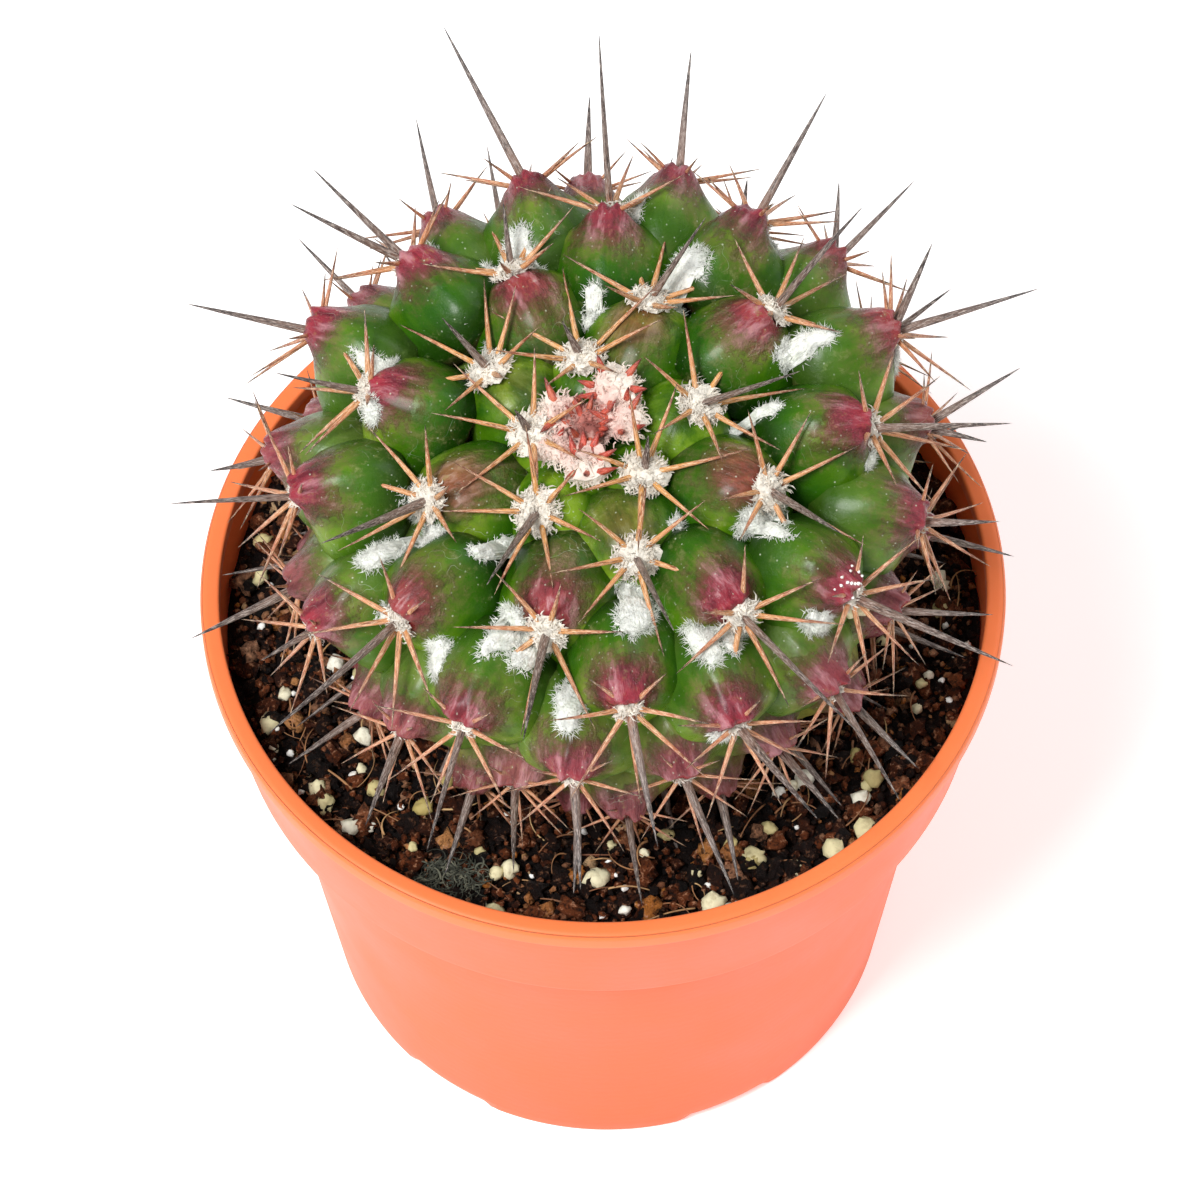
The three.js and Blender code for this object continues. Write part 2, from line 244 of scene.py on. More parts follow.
def addLight(name, place, size, power):
    lamp = bpy.data.lights.new(name, "AREA")
    lamp.size = size
    lamp.energy = power
    light = bpy.data.objects.new(name, lamp)
    light.location = place
    towards = Vector((0, 0, studio["aimHeight"])) - Vector(place)
    light.rotation_euler = towards.to_track_quat("-Z", "Y").to_euler()
    bpy.context.scene.collection.objects.link(light)


def addStudio():
    world = bpy.data.worlds.new("studio")
    world.use_nodes = True
    background = world.node_tree.nodes["Background"]
    background.inputs["Color"].default_value = (*studio["skyColour"], 1)
    background.inputs["Strength"].default_value = studio["skyStrength"]
    bpy.context.scene.world = world
    bpy.context.scene.view_settings.view_transform = "Standard"
    addLight("key", studio["keyPlace"], studio["keySize"], studio["keyPower"])
    addLight("fill", studio["fillPlace"], studio["fillSize"], studio["fillPower"])
    bm = bmesh.new()
    bmesh.ops.create_grid(bm, x_segments=1, y_segments=1, size=studio["floorHalfWidth"])
    mesh = bpy.data.meshes.new("floor")
    bm.to_mesh(mesh)
    bm.free()
    material, tree, shader = newMaterial("floorPaper")
    paper = (*studio["floorColour"], 1)
    feed(tree, shader, {
        "Base Color": paper, "Emission Color": paper, "Emission Strength": studio["floorGlow"],
        "Roughness": 0.9,
    })
    mesh.materials.append(material)
    floor = bpy.data.objects.new("floor", mesh)
    bpy.context.scene.collection.objects.link(floor)


# pot

pot = {
    "height": 94.0,
    "rimRadius": 60.0,
    "lipWidth": 2.9,
    "lipHeight": 3.2,
    "bandHeight": 3.1,
    "bandStep": 0.75,
    "wall": 1.7,
    "collarHeight": 23.5,
    "collarFootRadius": 56.3,
    "bodyTopRadius": 51.8,
    "baseRadius": 44.1,
    "floorThickness": 2.2,
    "footHeight": 3.0,
    "footWidth": 3.2,
    "recessCount": 6,
    "recessDepth": 2.2,
    "recessLength": 15.0,
    "recessSlope": 1.4,
    "firstRecessTurn": 54.5,
    "drainHoles": 5,
    "drainRadius": 4.0,
    "drainRing": 27.0,
    "steps": 240,
    "body": (0.87, 0.111, 0.013),
    "bodyWarm": (0.90, 0.129, 0.021),
    "lip": (0.90, 0.205, 0.066),
    # a lighter copy of the plastic's colour for the upper inner wall: painted light
    "inside": (0.92, 0.16, 0.032),
}


def roundCorner(before, corner, after, radius, points=4):
    # an arc in place of a corner between two straight runs of a profile
    before, corner, after = Vector(before), Vector(corner), Vector(after)
    start = corner + (before - corner).normalized() * radius
    end = corner + (after - corner).normalized() * radius
    arc = []
    for i in range(points + 1):
        t = i / points
        arc.append(tuple((1 - t) ** 2 * start + 2 * t * (1 - t) * corner + t * t * end))
    return arc


def roundedProfile(corners):
    # corners are (radius, height, rounding); the first and last stay as they are
    profile = [corners[0][:2]]
    for before, corner, after in zip(corners, corners[1:], corners[2:]):
        if corner[2]:
            profile += roundCorner(before[:2], corner[:2], after[:2], corner[2])
        else:
            profile.append(corner[:2])
    return profile + [corners[-1][:2]]


def recessShare(angle):
    pitch = 360 / pot["recessCount"]
    offset = (math.degrees(angle) - pot["firstRecessTurn"] + pitch / 2) % pitch - pitch / 2
    along = abs(math.radians(offset)) * pot["baseRadius"]
    half = pot["recessLength"] / 2
    return 1 - easeBetween(along, half - pot["recessSlope"], half + pot["recessSlope"])


def buildPot():
    p = pot
    top, wall = p["height"], p["wall"]
    collarBottom = top - p["collarHeight"]
    floorTop = p["footHeight"] + p["floorThickness"]
    lipInner = p["rimRadius"] - p["lipWidth"]
    underLip = p["rimRadius"] - p["bandStep"]
    bm = spunShape(roundedProfile([
        (0, p["footHeight"], 0),
        (p["baseRadius"] - p["footWidth"], p["footHeight"], 0.5),
        (p["baseRadius"] - p["footWidth"], 0, 0.4),
        (p["baseRadius"], 0, 1.0),
        (p["baseRadius"] + 0.35, 3.2, 0),
        (p["baseRadius"] + 0.66, 6.0, 0),
        (p["bodyTopRadius"], collarBottom, 0.5),
        (p["collarFootRadius"], collarBottom, 0.8),
        (underLip, top - p["bandHeight"] - 0.3, 0.15),
        (p["rimRadius"], top - p["bandHeight"], 0.3),
        (p["rimRadius"], top - 0.55, 0.5),
        (p["rimRadius"] - 0.7, top, 0.5),
        (lipInner, top, 0.6),
        (lipInner, top - p["lipHeight"], 0.5),
        (p["rimRadius"] - wall, top - p["lipHeight"] - 0.6, 0.3),
        (p["collarFootRadius"] - wall, collarBottom + 2 * wall, 0.8),
        (p["bodyTopRadius"] - wall, collarBottom + wall, 0.8),
        (p["baseRadius"] - wall, floorTop, 1.0),
        (0, floorTop, 0),
    ]), p["steps"])
    for vert in bm.verts:
        radius = math.hypot(vert.co.x, vert.co.y)
        if vert.co.z < p["recessDepth"] and radius > p["baseRadius"] - 1.5 * p["footWidth"]:
            raised = p["recessDepth"] * recessShare(math.atan2(vert.co.y, vert.co.x))
            vert.co.z = max(vert.co.z, raised)
    piece = addPiece("plastic_pot", bm, [potPlastic()], ["pot"])
    cutDrainHoles(piece)


def cutDrainHoles(piece):
    bm = bmesh.new()
    for i in range(pot["drainHoles"]):
        angle = math.radians(90 + 360 * i / pot["drainHoles"])
        place = (pot["drainRing"] * math.cos(angle), pot["drainRing"] * math.sin(angle), pot["footHeight"])
        bmesh.ops.create_cone(bm, cap_ends=True, segments=24, radius1=pot["drainRadius"],
                              radius2=pot["drainRadius"], depth=12, matrix=Matrix.Translation(place))
    bmesh.ops.transform(bm, matrix=Matrix.Scale(mm, 4), verts=bm.verts)
    mesh = bpy.data.meshes.new("drainCutter")
    bm.to_mesh(mesh)
    bm.free()
    cutter = bpy.data.objects.new("drainCutter", mesh)
    bpy.context.scene.collection.objects.link(cutter)
    cut = piece.modifiers.new("drain", "BOOLEAN")
    cut.operation = "DIFFERENCE"
    cut.solver = "EXACT"
    cut.object = cutter
    shaped = piece.evaluated_get(bpy.context.evaluated_depsgraph_get())
    finished = bpy.data.meshes.new_from_object(shaped)
    piece.modifiers.clear()
    piece.data = finished
    bpy.data.objects.remove(cutter)


def potPlastic():
    material, tree, shader = newMaterial("mouldedPlastic")
    coords = objectCoords(tree)
    place = addNode(tree, "ShaderNodeSeparateXYZ", Vector=coords)
    height = place.outputs["Z"]
    level = addNode(tree, "ShaderNodeCombineXYZ", X=place.outputs["X"], Y=place.outputs["Y"]).outputs[0]
    radius = addNode(tree, "ShaderNodeVectorMath", {"operation": "LENGTH"}, i0=level).outputs["Value"]
    top = pot["height"] * mm
    collarBottom = top - pot["collarHeight"] * mm
    flare = (pot["rimRadius"] - pot["collarFootRadius"]) / pot["collarHeight"]
    lipShare = remap(tree, height, top - 3.7 * mm, top - 3.1 * mm)
    mottle = noiseField(tree, coords, 55, 4)
    body = mixColour(tree, remap(tree, mottle, 0.35, 0.7), pot["body"], pot["bodyWarm"])
    colour = mixColour(tree, lipShare, body, pot["lip"])
    # the inner face of the wall lies within the outer slope, by half its thickness, at each height; there
    # the plastic gets a lighter copy of its colour, painted light on the inner wall
    slope = times(tree, combine(tree, "SUBTRACT", height, collarBottom), flare)
    wallLine = plus(tree, slope, (pot["collarFootRadius"] - 0.8) * mm)
    inside = remap(tree, combine(tree, "SUBTRACT", wallLine, radius), 0.0, 0.4 * mm)
    belowLip = remap(tree, height, top - 0.2 * mm, top - mm)
    inside = times(tree, inside, belowLip)
    aboveStep = remap(tree, height, collarBottom + 3.5 * mm, collarBottom + 5.5 * mm)
    inside = times(tree, inside, aboveStep)
    colour = mixColour(tree, inside, colour, pot["inside"])
    dull = remap(tree, mottle, 0.3, 0.7, 0.4, 0.52)
    feed(tree, shader, {
        "Base Color": colour, "Roughness": dull, "Specular IOR Level": 0.22,
        "Sheen Weight": 0.07, "Sheen Roughness": 0.4, "Subsurface Weight": 0.08,
        "Subsurface Radius": (1.0, 0.3, 0.1), "Subsurface Scale": 0.002,
    })
    grain = noiseField(tree, coords, 900, 2)
    rings = addNode(tree, "ShaderNodeTexWave", {"bands_direction": "Z"}, Vector=coords, Scale=160.0,
                    Distortion=1.5).outputs["Fac"]
    relief = times(tree, rings, 0.06)
    relief = plus(tree, times(tree, grain, 0.4), relief)
    addBump(tree, shader, relief, 0.12, 0.0004)
    return material


# growth: where every tubercle stands

growth = {
    "count": 80,
    "firstSpiny": 2,
    "globeTop": 139.0,
    "pivot": 100.0,
    "offset": (2.1, 2.4),
    "leanFront": 6.8,
    "leanLeft": 5.2,
    "heartBelowTop": 31.0,
    "spiralTurn": 137.51,
    "spiralStart": 265.5,
    "squeeze": [(1, 0.047, 1.12), (2, 0.065, 3.52)],
    "youngestScale": 0.4,
    "scalePerStep": 0.075,
    "tiltStart": 8,
    "tiltPerStep": 2.2,
    "mostTilt": 30.0,
}

# place on the spiral, distance from the globe's axis, drop below its top
tipCurve = [
    (0, 5.5, 0), (3, 10, 0.5), (7, 18, 1), (12, 29, 1.5), (19, 39.5, 3.5), (27, 46, 8),
    (36, 47.5, 15.5), (46, 45.5, 21.5), (56, 44, 34.5), (66, 39, 42), (80, 31, 48),
]

lean = (Matrix.Rotation(math.radians(-growth["leanLeft"]), 3, "Y")
        @ Matrix.Rotation(math.radians(growth["leanFront"]), 3, "X"))


def leaned(point):
    raised = Vector(point) + Vector((0, 0, growth["globeTop"] - growth["pivot"]))
    return lean @ raised + Vector((*growth["offset"], growth["pivot"]))


def alongTipCurve(place):
    for low, high in zip(tipCurve, tipCurve[1:]):
        if place <= high[0]:
            share = (place - low[0]) / (high[0] - low[0])
            return low[1] + share * (high[1] - low[1]), low[2] + share * (high[2] - low[2])
    return tipCurve[-1][1:]


def spiralAngle(place):
    # the spiral is squeezed a little on some of its sides
    turn = even = math.radians(growth["spiralStart"] + growth["spiralTurn"] * place)
    for waves, amount, phase in growth["squeeze"]:
        turn -= amount * math.sin(waves * even - phase)
    return turn


heart = leaned((0, 0, -growth["heartBelowTop"]))


def chance(place, purpose):
    # a number from 0 to 1 that is always the same for one place and purpose
    wave = math.sin(place * 12.9898 + purpose * 78.233) * 43758.5453
    return wave - math.floor(wave)


class Tubercle:
    def __init__(self, place):
        radius, drop = alongTipCurve(place)
        self.place = place
        self.turn = spiralAngle(place)
        self.tip = leaned((radius * math.cos(self.turn), radius * math.sin(self.turn), -drop))
        self.axis = (self.tip - heart).normalized()
        crown = lean @ Vector((0, 0, 1))
        # dorsal points to the crown, across completes the frame
        self.dorsal = (crown - self.axis * crown.dot(self.axis)).normalized()
        self.across = self.axis.cross(self.dorsal)
        self.scale = min(1.0, growth["youngestScale"] + growth["scalePerStep"] * place)
        tilt = growth["tiltPerStep"] * (place - growth["tiltStart"])
        self.tilt = math.radians(min(growth["mostTilt"], max(0.0, tilt)))
        self.facing = (self.axis * math.cos(self.tilt) - self.dorsal * math.sin(self.tilt)).normalized()


tubercles = [Tubercle(place) for place in range(growth["count"])]
spinyOnes = tubercles[growth["firstSpiny"]:]

# stem

stem = {
    "length": 15.0,
    "profile": [
        (0, -0.15), (0.9, -0.15), (1.7, -0.14), (2.4, -0.2), (3.1, -0.38), (3.8, -0.65),
        (4.5, -1.0), (5.2, -1.42), (5.9, -1.95), (6.7, -2.7), (7.5, -3.6), (8.2, -4.8),
        (8.8, -6.2), (9.3, -7.9), (9.7, -10.0), (10.0, -12.6), (7.0, -15.0), (0, -15.0),
    ],
    "steps": 44,
    "oldTaper": 0.2,
    "keel": 0.22,
    "ridges": [(0.0, 1.0), (1.9, 0.7), (-1.9, 0.7), (math.pi, 0.8)],
    "ridgeWidth": 0.75,
    "lump": 0.07,
    "capHeight": 2.0,
    "capGap": 1.0,
    "capReach": (3.6, 4.4),
    "capShoulder": 0.6,
    "stainReach": 6.3,
    "blushFrom": 5,
    "blushFull": 15,
    "coreShare": 0.7,
    "coreFoot": -53,
    "neckTop": 25.0,
    "neckFoot": 17.0,
    "neckBottom": 72.5,
    "mixClear": 86.5,
}


def keelRise(angle):
    # a ridge along the back, one on each side and one below
    rise = 0.0
    for middle, weight in stem["ridges"]:
        offset = abs((angle - middle + math.pi) % (2 * math.pi) - math.pi)
        rise += weight * max(0.0, 1 - offset / stem["ridgeWidth"])
    return rise


def shapeTubercle(verts, tub, layers):
    grown = easeBetween(tub.place, 7, 18)
    capLong, capWide = stem["capReach"]
    capPlace = wool["domeShare"] * padSize(tub) + stem["capGap"]
    for vert in verts:
        x, y, z = vert.co
        radius = math.hypot(x, y)
        angle = math.atan2(y, x)
        depth = -z
        middle = easeBetween(depth, 0.4, 3.5) * (1 - easeBetween(depth, 9, 15))
        swell = 1 + stem["keel"] * grown * middle * keelRise(angle)
        swell *= 1 - stem["oldTaper"] * grown * easeBetween(depth, 0.1, 1) * math.exp(-depth / 6)
        spot = Vector((math.cos(angle) * 1.3, math.sin(angle) * 1.3, depth * 0.16))
        lump = noise.noise(spot + Vector((tub.place * 7.1, 3, 1)))
        swell += stem["lump"] * lump * easeBetween(depth, 0.2, 3)
        back = radius * math.cos(angle) * swell
        side = radius * math.sin(angle) * swell
        # the tip leans over its back, so that the areole faces outwards
        height = z + math.tan(tub.tilt) * back * math.exp(-depth / 5.0)
        # a swollen cap stands on the back of the tip, creased down its middle
        capLength = capLong if back > capPlace else capLong * stem["capShoulder"]
        outside = math.hypot((back - capPlace) / capLength, side / capWide)
        cap = 1 - easeBetween(outside, 0.25, 1.3)
        wrinkle = noise.noise(Vector((back * 0.4, side * 0.9, tub.place * 3.7)))
        height += stem["capHeight"] * grown * cap * (1 + 0.45 * wrinkle - 0.3 * math.exp(-(side / 0.8) ** 2))
        local = (tub.dorsal * back + tub.across * side + tub.axis * height) * tub.scale
        vert.co = tub.tip + local
        vert[layers["tipward"]] = 1 - depth / stem["length"]
        away = (back - capPlace + 0.2) ** 2 + side ** 2
        vert[layers["cap"]] = math.exp(-away / stem["stainReach"] ** 2)
        vert[layers["age"]] = tub.place / growth["count"]
        vert[layers["blush"]] = tub.blush
        vert[layers["streak"]] = (side, 0.35 * back, tub.place * 5.0)


def coreProfile():
    # the flesh under the tubercles: the tip curve drawn in towards the heart
    middle = Vector((0, -growth["heartBelowTop"]))
    skin = []
    for place, radius, drop in tipCurve:
        tip = Vector((radius, -drop))
        scale = min(1.0, growth["youngestScale"] + growth["scalePerStep"] * place)
        skin.append(tuple(tip + (middle - tip).normalized() * stem["coreShare"] * stem["length"] * scale))
    return [(0, skin[0][1])] + skin + [(0, stem["coreFoot"])]


def buildStem():
    bm = bmesh.new()
    layers = {name: bm.verts.layers.float.new(name) for name in ("tipward", "cap", "age", "blush")}
    layers["streak"] = bm.verts.layers.float_vector.new("streak")
    template = asTemplate(spunShape(stem["profile"], stem["steps"]), "tubercleShape")
    for tub in tubercles:
        # the purple at the tip comes with age
        grown = easeBetween(tub.place, stem["blushFrom"], stem["blushFull"])
        tub.blush = grown * (0.85 + 0.3 * chance(tub.place, 5))
        shapeTubercle(stamp(bm, template), tub, layers)
    core = asTemplate(spunShape(coreProfile(), 48), "coreShape")
    for vert in stamp(bm, core):
        vert.co = leaned(vert.co)
        vert[layers["age"]] = 0.5
    neck = [
        (0, heart.z), (stem["neckTop"], stem["mixClear"] + 1), (stem["neckFoot"], stem["neckBottom"]),
        (0, stem["neckBottom"]),
    ]
    stamp(bm, asTemplate(spunShape(neck, 32), "neckShape"))
    for vert in bm.verts:
        if vert.co.z < stem["mixClear"] and math.hypot(vert.co.x, vert.co.y) > stem["neckTop"] + 1:
            vert.co.z = stem["mixClear"]
    # the tree keeps the face normals as they are now
    bm.normal_update()
    skin = BVHTree.FromBMesh(bm)
    addPiece("cactus_flesh", bm, [cactusSkin()], ["cactus_stem"])
    return skin


skinColours = {
    "deep": (0.020, 0.088, 0.001),
    "middle": (0.082, 0.195, 0.003),
    "streak": (0.120, 0.250, 0.005),
    # flank and crease greens darken towards the creases: painted shade, the flank partly its own deeper
    # green
    "flankGreenAndShade": (0.014, 0.085, 0.001),
    "creaseShade": (0.004, 0.026, 0.001),
    "lit": (0.21, 0.34, 0.018),
    "old": ((0.060, 0.13, 0.010), (0.16, 0.235, 0.045)),
    "oldest": ((0.30, 0.30, 0.05), (0.13, 0.18, 0.03)),
    "browns": ((0.075, 0.060, 0.016), (0.19, 0.13, 0.055)),
    "plums": [
        (0.46, (0.10, 0.058, 0.022)), (0.60, (0.15, 0.048, 0.036)),
        (0.78, (0.22, 0.035, 0.050)), (1.0, (0.32, 0.030, 0.048)),
    ],
    "fadedPlum": (0.25, 0.090, 0.090),
    "plumShade": (0.055, 0.004, 0.010),
    # pale streaks on the purple: painted highlights
    "plumHighlight": (0.58, 0.28, 0.31),
    "crimson": (0.27, 0.008, 0.014),
    "bloom": (0.34, 0.47, 0.16),
    "hairline": (0.62, 0.68, 0.55),
    "dots": (0.6, 0.66, 0.5),
}


def cactusSkin():
    material, tree, shader = newMaterial("waxySkin")
    coords = objectCoords(tree)
    tipward = attribute(tree, "tipward")
    cap = attribute(tree, "cap")
    age = attribute(tree, "age")
    blush = attribute(tree, "blush")
    streakPlace = attribute(tree, "streak", "Vector")
    patches = noiseField(tree, coords, 130, 4)
    fine = noiseField(tree, coords, 750, 5, 0.72)
    wrinkles = noiseField(tree, streakPlace, 0.55, 5, 0.6)
    c = skinColours
    green = mixColour(tree, remap(tree, patches, 0.38, 0.62), c["deep"], c["middle"])
    # deep green and painted shade towards the creases, yellower and painted light on the crests
    green = layered(tree, green, [
        (wrinkles, 0.42, 0.62, 0.45, c["streak"]), (tipward, 0.8, 0.5, 0.75, c["flankGreenAndShade"]),
        (tipward, 0.5, 0.3, 0.8, c["creaseShade"]),
    ])
    lit = times(tree, remap(tree, patches, 0.5, 0.64), remap(tree, tipward, 0.6, 0.85, 0, 0.9))
    green = mixColour(tree, lit, green, c["lit"])
    old = mixColour(tree, remap(tree, patches, 0.35, 0.65), *c["old"])
    yellowed = mixColour(tree, remap(tree, patches, 0.4, 0.6), *c["oldest"])
    green = layered(tree, green, [(age, 0.24, 0.6, 1, old), (age, 0.62, 0.74, 1, yellowed)])
    # tan and olive round the purple, with a mottled edge
    edge = plus(tree, cap, remap(tree, patches, 0.3, 0.7, -0.12, 0.12))
    edge = plus(tree, edge, remap(tree, fine, 0.3, 0.7, -0.13, 0.13))
    rimShare = times(tree, remap(tree, edge, 0.3, 0.6, 0, 0.85), blush)
    brown = mixColour(tree, remap(tree, wrinkles, 0.4, 0.6), *c["browns"])
    colour = mixColour(tree, rimShare, green, brown)
    # on the purple, dark wrinkle lines are painted shade and pale streaks are painted highlights of its
    # gloss
    plum = layered(tree, colourRamp(tree, edge, c["plums"]), [
        (age, 0.36, 0.55, 0.6, c["fadedPlum"]), (wrinkles, 0.47, 0.38, 0.55, c["plumShade"]),
        (wrinkles, 0.52, 0.64, 0.6, c["plumHighlight"]),
    ])
    stain = times(tree, remap(tree, edge, 0.47, 0.75), blush)
    colour = mixColour(tree, stain, colour, plum)
    # a crimson line where the cap meets the areole
    crimson = times(tree, remap(tree, tipward, 0.978, 0.99, 0, 0.85), blush)
    colour = mixColour(tree, crimson, colour, c["crimson"])
    # a waxy bloom, pale hairlines and tiny dots
    bloom = times(tree, remap(tree, fine, 0.55, 0.72, 0, 0.35), remap(tree, patches, 0.4, 0.62))
    colour = mixColour(tree, bloom, colour, c["bloom"])
    bent = combine(tree, "SUBTRACT", noiseField(tree, coords, 330, 1, 0.3), 0.5)
    hairline = remap(tree, combine(tree, "ABSOLUTE", bent), 0.005, 0.0)
    hairline = times(tree, hairline, remap(tree, patches, 0.54, 0.64, 0, 0.45))
    colour = mixColour(tree, hairline, colour, c["hairline"])
    dots = addNode(tree, "ShaderNodeTexVoronoi", Vector=coords, Scale=900.0).outputs["Distance"]
    dotShare = times(tree, remap(tree, dots, 0.16, 0.06), remap(tree, fine, 0.46, 0.56, 0.0, 0.7))
    colour = mixColour(tree, dotShare, colour, c["dots"])
    # the purple is glossier than the green
    gloss = times(tree, stain, 0.08)
    dull = combine(tree, "SUBTRACT", remap(tree, fine, 0.35, 0.65, 0.26, 0.5), gloss)
    feed(tree, shader, {
        "Base Color": colour, "Roughness": dull, "Specular IOR Level": 0.17, "Coat Weight": 0.16,
        "Coat Roughness": 0.2, "Subsurface Weight": 0.06, "Subsurface Radius": (0.6, 1.0, 0.3),
        "Subsurface Scale": 0.001,
    })
    relief = times(tree, wrinkles, times(tree, stain, 6.0))
    relief = plus(tree, relief, times(tree, fine, 0.7))
    addBump(tree, shader, relief, 0.6, 0.0004)
    return material


# spines

spines = {
    "radialCount": 7,
    "radialLength": 12.5,
    "radialRadius": 0.44,
    "radialSpread": 66.0,
    "oldReach": 0.8,
    "oldRadius": 0.62,
    "centralRadius": 0.7,
    "centralLength": 15.0,
    "centralFlatness": 0.75,
    "profile": [
        (0, 0), (0.9, 0), (1.05, 0.06), (0.94, 0.25), (0.76, 0.45), (0.55, 0.65), (0.33, 0.83),
        (0.14, 0.95), (0, 1),
    ],
}

# centrals that differ from the usual one: length, rise above level, turn from straight out
centralSpines = {
    2: [(7, 75, 20)], 3: [(7, 75, 100)], 4: [(8, 70, 60)], 5: [(28, 35, 15)], 6: [(24, 50, -40)],
    7: [(13, 60, 25)], 8: [(28, 35, -5)], 9: [(17, 55, -35)], 10: [(24, 30, 25)], 11: [(22, 35, -35)],
    12: [(11, 55, -10)], 13: [(27, 25, 5)], 14: [(22, 50, -5)], 15: [(15, 30, 25)], 16: [(33, 20, -5)],
    17: [(27, 45, 10)], 18: [(30, 15, 10)], 19: [(24, 30, -20)], 20: [(20, 30, 15), (20, 25, 35)],
    21: [(20, -20, 5)], 22: [(22, 40, -5)], 23: [(20, 20, 10)], 24: [(30, 20, -5)], 25: [(27, 30, 20)],
    26: [(20, -5, 10)], 27: [(23, 25, -20), (15, 50, 30)], 28: [(20, 15, 25)], 29: [(22, 15, 5)],
    30: [(20, 30, 10)], 31: [(10, 10, 10)], 32: [(13, 25, -5)], 33: [(17, 25, -15)], 34: [(16, -20, 10)],
    35: [(17, 25, -5), (12, 35, 40)], 36: [(10, 0, 25)], 37: [(23, 10, -20)], 39: [(17, 5, 20)],
    40: [(17, 30, 10), (10, 10, -30)], 42: [(19, -15, 10)], 43: [(8, 25, 20)], 44: [(18, 0, 15)],
}


def spineLayers(bm):
    layers = {name: bm.verts.layers.float.new(name) for name in ("along", "kind")}
    layers["fibre"] = bm.verts.layers.float_vector.new("fibre")
    return layers


def addSpine(bm, template, layers, root, direction, length, radius, bend, flat=1.0, spin=0.0, kind=0.0):
    turn = turnTo(direction, spin)
    for vert in stamp(bm, template):
        x, y, along = vert.co
        # streaks run along the horn: a stretched place on its surface
        vert[layers["fibre"]] = (x, y, 0.16 * along * length + 40 * kind)
        aside = x * radius + bend[0] * along * along
        below = y * radius * flat + bend[1] * along * along
        vert.co = root + turn @ Vector((aside, below, along * length))
        vert[layers["along"]] = along
        vert[layers["kind"]] = kind


def radialDirections(tub):
    found = []
    for i in range(spines["radialCount"]):
        around = (i + 0.5 * (chance(tub.place, 10 + i) - 0.5)) * 2 * math.pi / spines["radialCount"]
        spread = math.radians(spines["radialSpread"] + 16 * (chance(tub.place, 20 + i) - 0.5))
        sideways = -tub.dorsal * math.cos(around) + tub.across * math.sin(around)
        direction = tub.facing * math.cos(spread) + sideways * math.sin(spread)
        reach = 1 + 0.15 * math.cos(around) + 0.2 * (chance(tub.place, 30 + i) - 0.5)
        reach *= blendBetween(1.0, spines["oldReach"], (tub.place - 22) / 30)
        found.append((direction.normalized(), sideways, spines["radialLength"] * reach))
    return found


def buildSpines():
    radials, centrals = bmesh.new(), bmesh.new()
    radialLayers, centralLayers = spineLayers(radials), spineLayers(centrals)
    thin = asTemplate(spunShape(spines["profile"], 6), "radialShape")
    stout = asTemplate(spunShape(spines["profile"], 8), "centralShape")
    for tub in spinyOnes:
        size = padSize(tub)
        for i, (direction, sideways, length) in enumerate(radialDirections(tub)):
            root = tub.tip + tub.facing * 0.5 + sideways * 0.3 * size
            bend = (1.2 * (chance(tub.place, 40 + i) - 0.5), 1.2 * (chance(tub.place, 50 + i) - 0.5))
            radius = spines["radialRadius"] * blendBetween(1.0, spines["oldRadius"], (tub.place - 18) / 30)
            kind = blendBetween(0.0, 0.75, tub.place / 26) + 0.25 * chance(tub.place, 60 + i)
            addSpine(radials, thin, radialLayers, root, direction, length, radius, bend, kind=kind)
        rise = math.degrees(math.asin(tub.axis.z))
        usual = [(spines["centralLength"], rise, 30 * (chance(tub.place, 2) - 0.5))]
        for length, rise, turn in centralSpines.get(tub.place, usual):
            level, up = tub.turn + math.radians(turn), math.radians(rise)
            outwards = math.cos(up)
            direction = Vector((outwards * math.cos(level), outwards * math.sin(level), math.sin(up)))
            root = tub.tip + tub.facing * 0.4
            bend = (1.0 * (chance(tub.place, 70) - 0.5), 1.0 * (chance(tub.place, 71) - 0.5))
            addSpine(centrals, stout, centralLayers, root, direction, length, spines["centralRadius"], bend,
                     flat=spines["centralFlatness"], spin=6.28 * chance(tub.place, 72),
                     kind=chance(tub.place, 73))
    addPiece("radial_spines", radials, [hornMaterial("radialHorn")], clusterNodes)
    addPiece("central_spines", centrals, [hornMaterial("centralHorn")])


# colours from root to tip, then those of the pale streaks, painted highlights that are partly the horn's own
# paler streaks, of the painted shade beside them and of the duskier spines
hornLooks = {
    "radialHorn": {
        "stops": [
            (0.0, (0.20, 0.055, 0.008)), (0.06, (0.62, 0.28, 0.05)), (0.3, (0.72, 0.34, 0.11)),
            (0.52, (0.60, 0.22, 0.09)), (0.72, (0.27, 0.085, 0.050)), (0.88, (0.05, 0.026, 0.022)),
            (1.0, (0.015, 0.01, 0.01)),
        ],
        "streak": (0.95, 0.70, 0.46),
        "shade": (0.17, 0.040, 0.014),
        "dusky": (0.46, 0.15, 0.095),
        "highlightShare": 0.75,
    },
    "centralHorn": {
        "stops": [
            (0.0, (0.28, 0.09, 0.03)), (0.06, (0.24, 0.13, 0.09)), (0.2, (0.21, 0.135, 0.105)),
            (0.5, (0.12, 0.082, 0.070)), (0.78, (0.040, 0.029, 0.028)), (1.0, (0.01, 0.009, 0.01)),
        ],
        "streak": (0.52, 0.44, 0.39),
        "shade": (0.022, 0.014, 0.013),
        "dusky": (0.15, 0.085, 0.06),
        "highlightShare": 0.7,
    },
    "newHorn": {
        "stops": [
            (0.0, (0.62, 0.09, 0.05)), (0.5, (0.50, 0.04, 0.022)), (0.8, (0.20, 0.02, 0.015)),
            (1.0, (0.03, 0.01, 0.01)),
        ],
        "streak": (0.85, 0.35, 0.27),
        "shade": (0.25, 0.02, 0.015),
        "dusky": (0.55, 0.16, 0.07),
        "highlightShare": 0.4,
    },
}


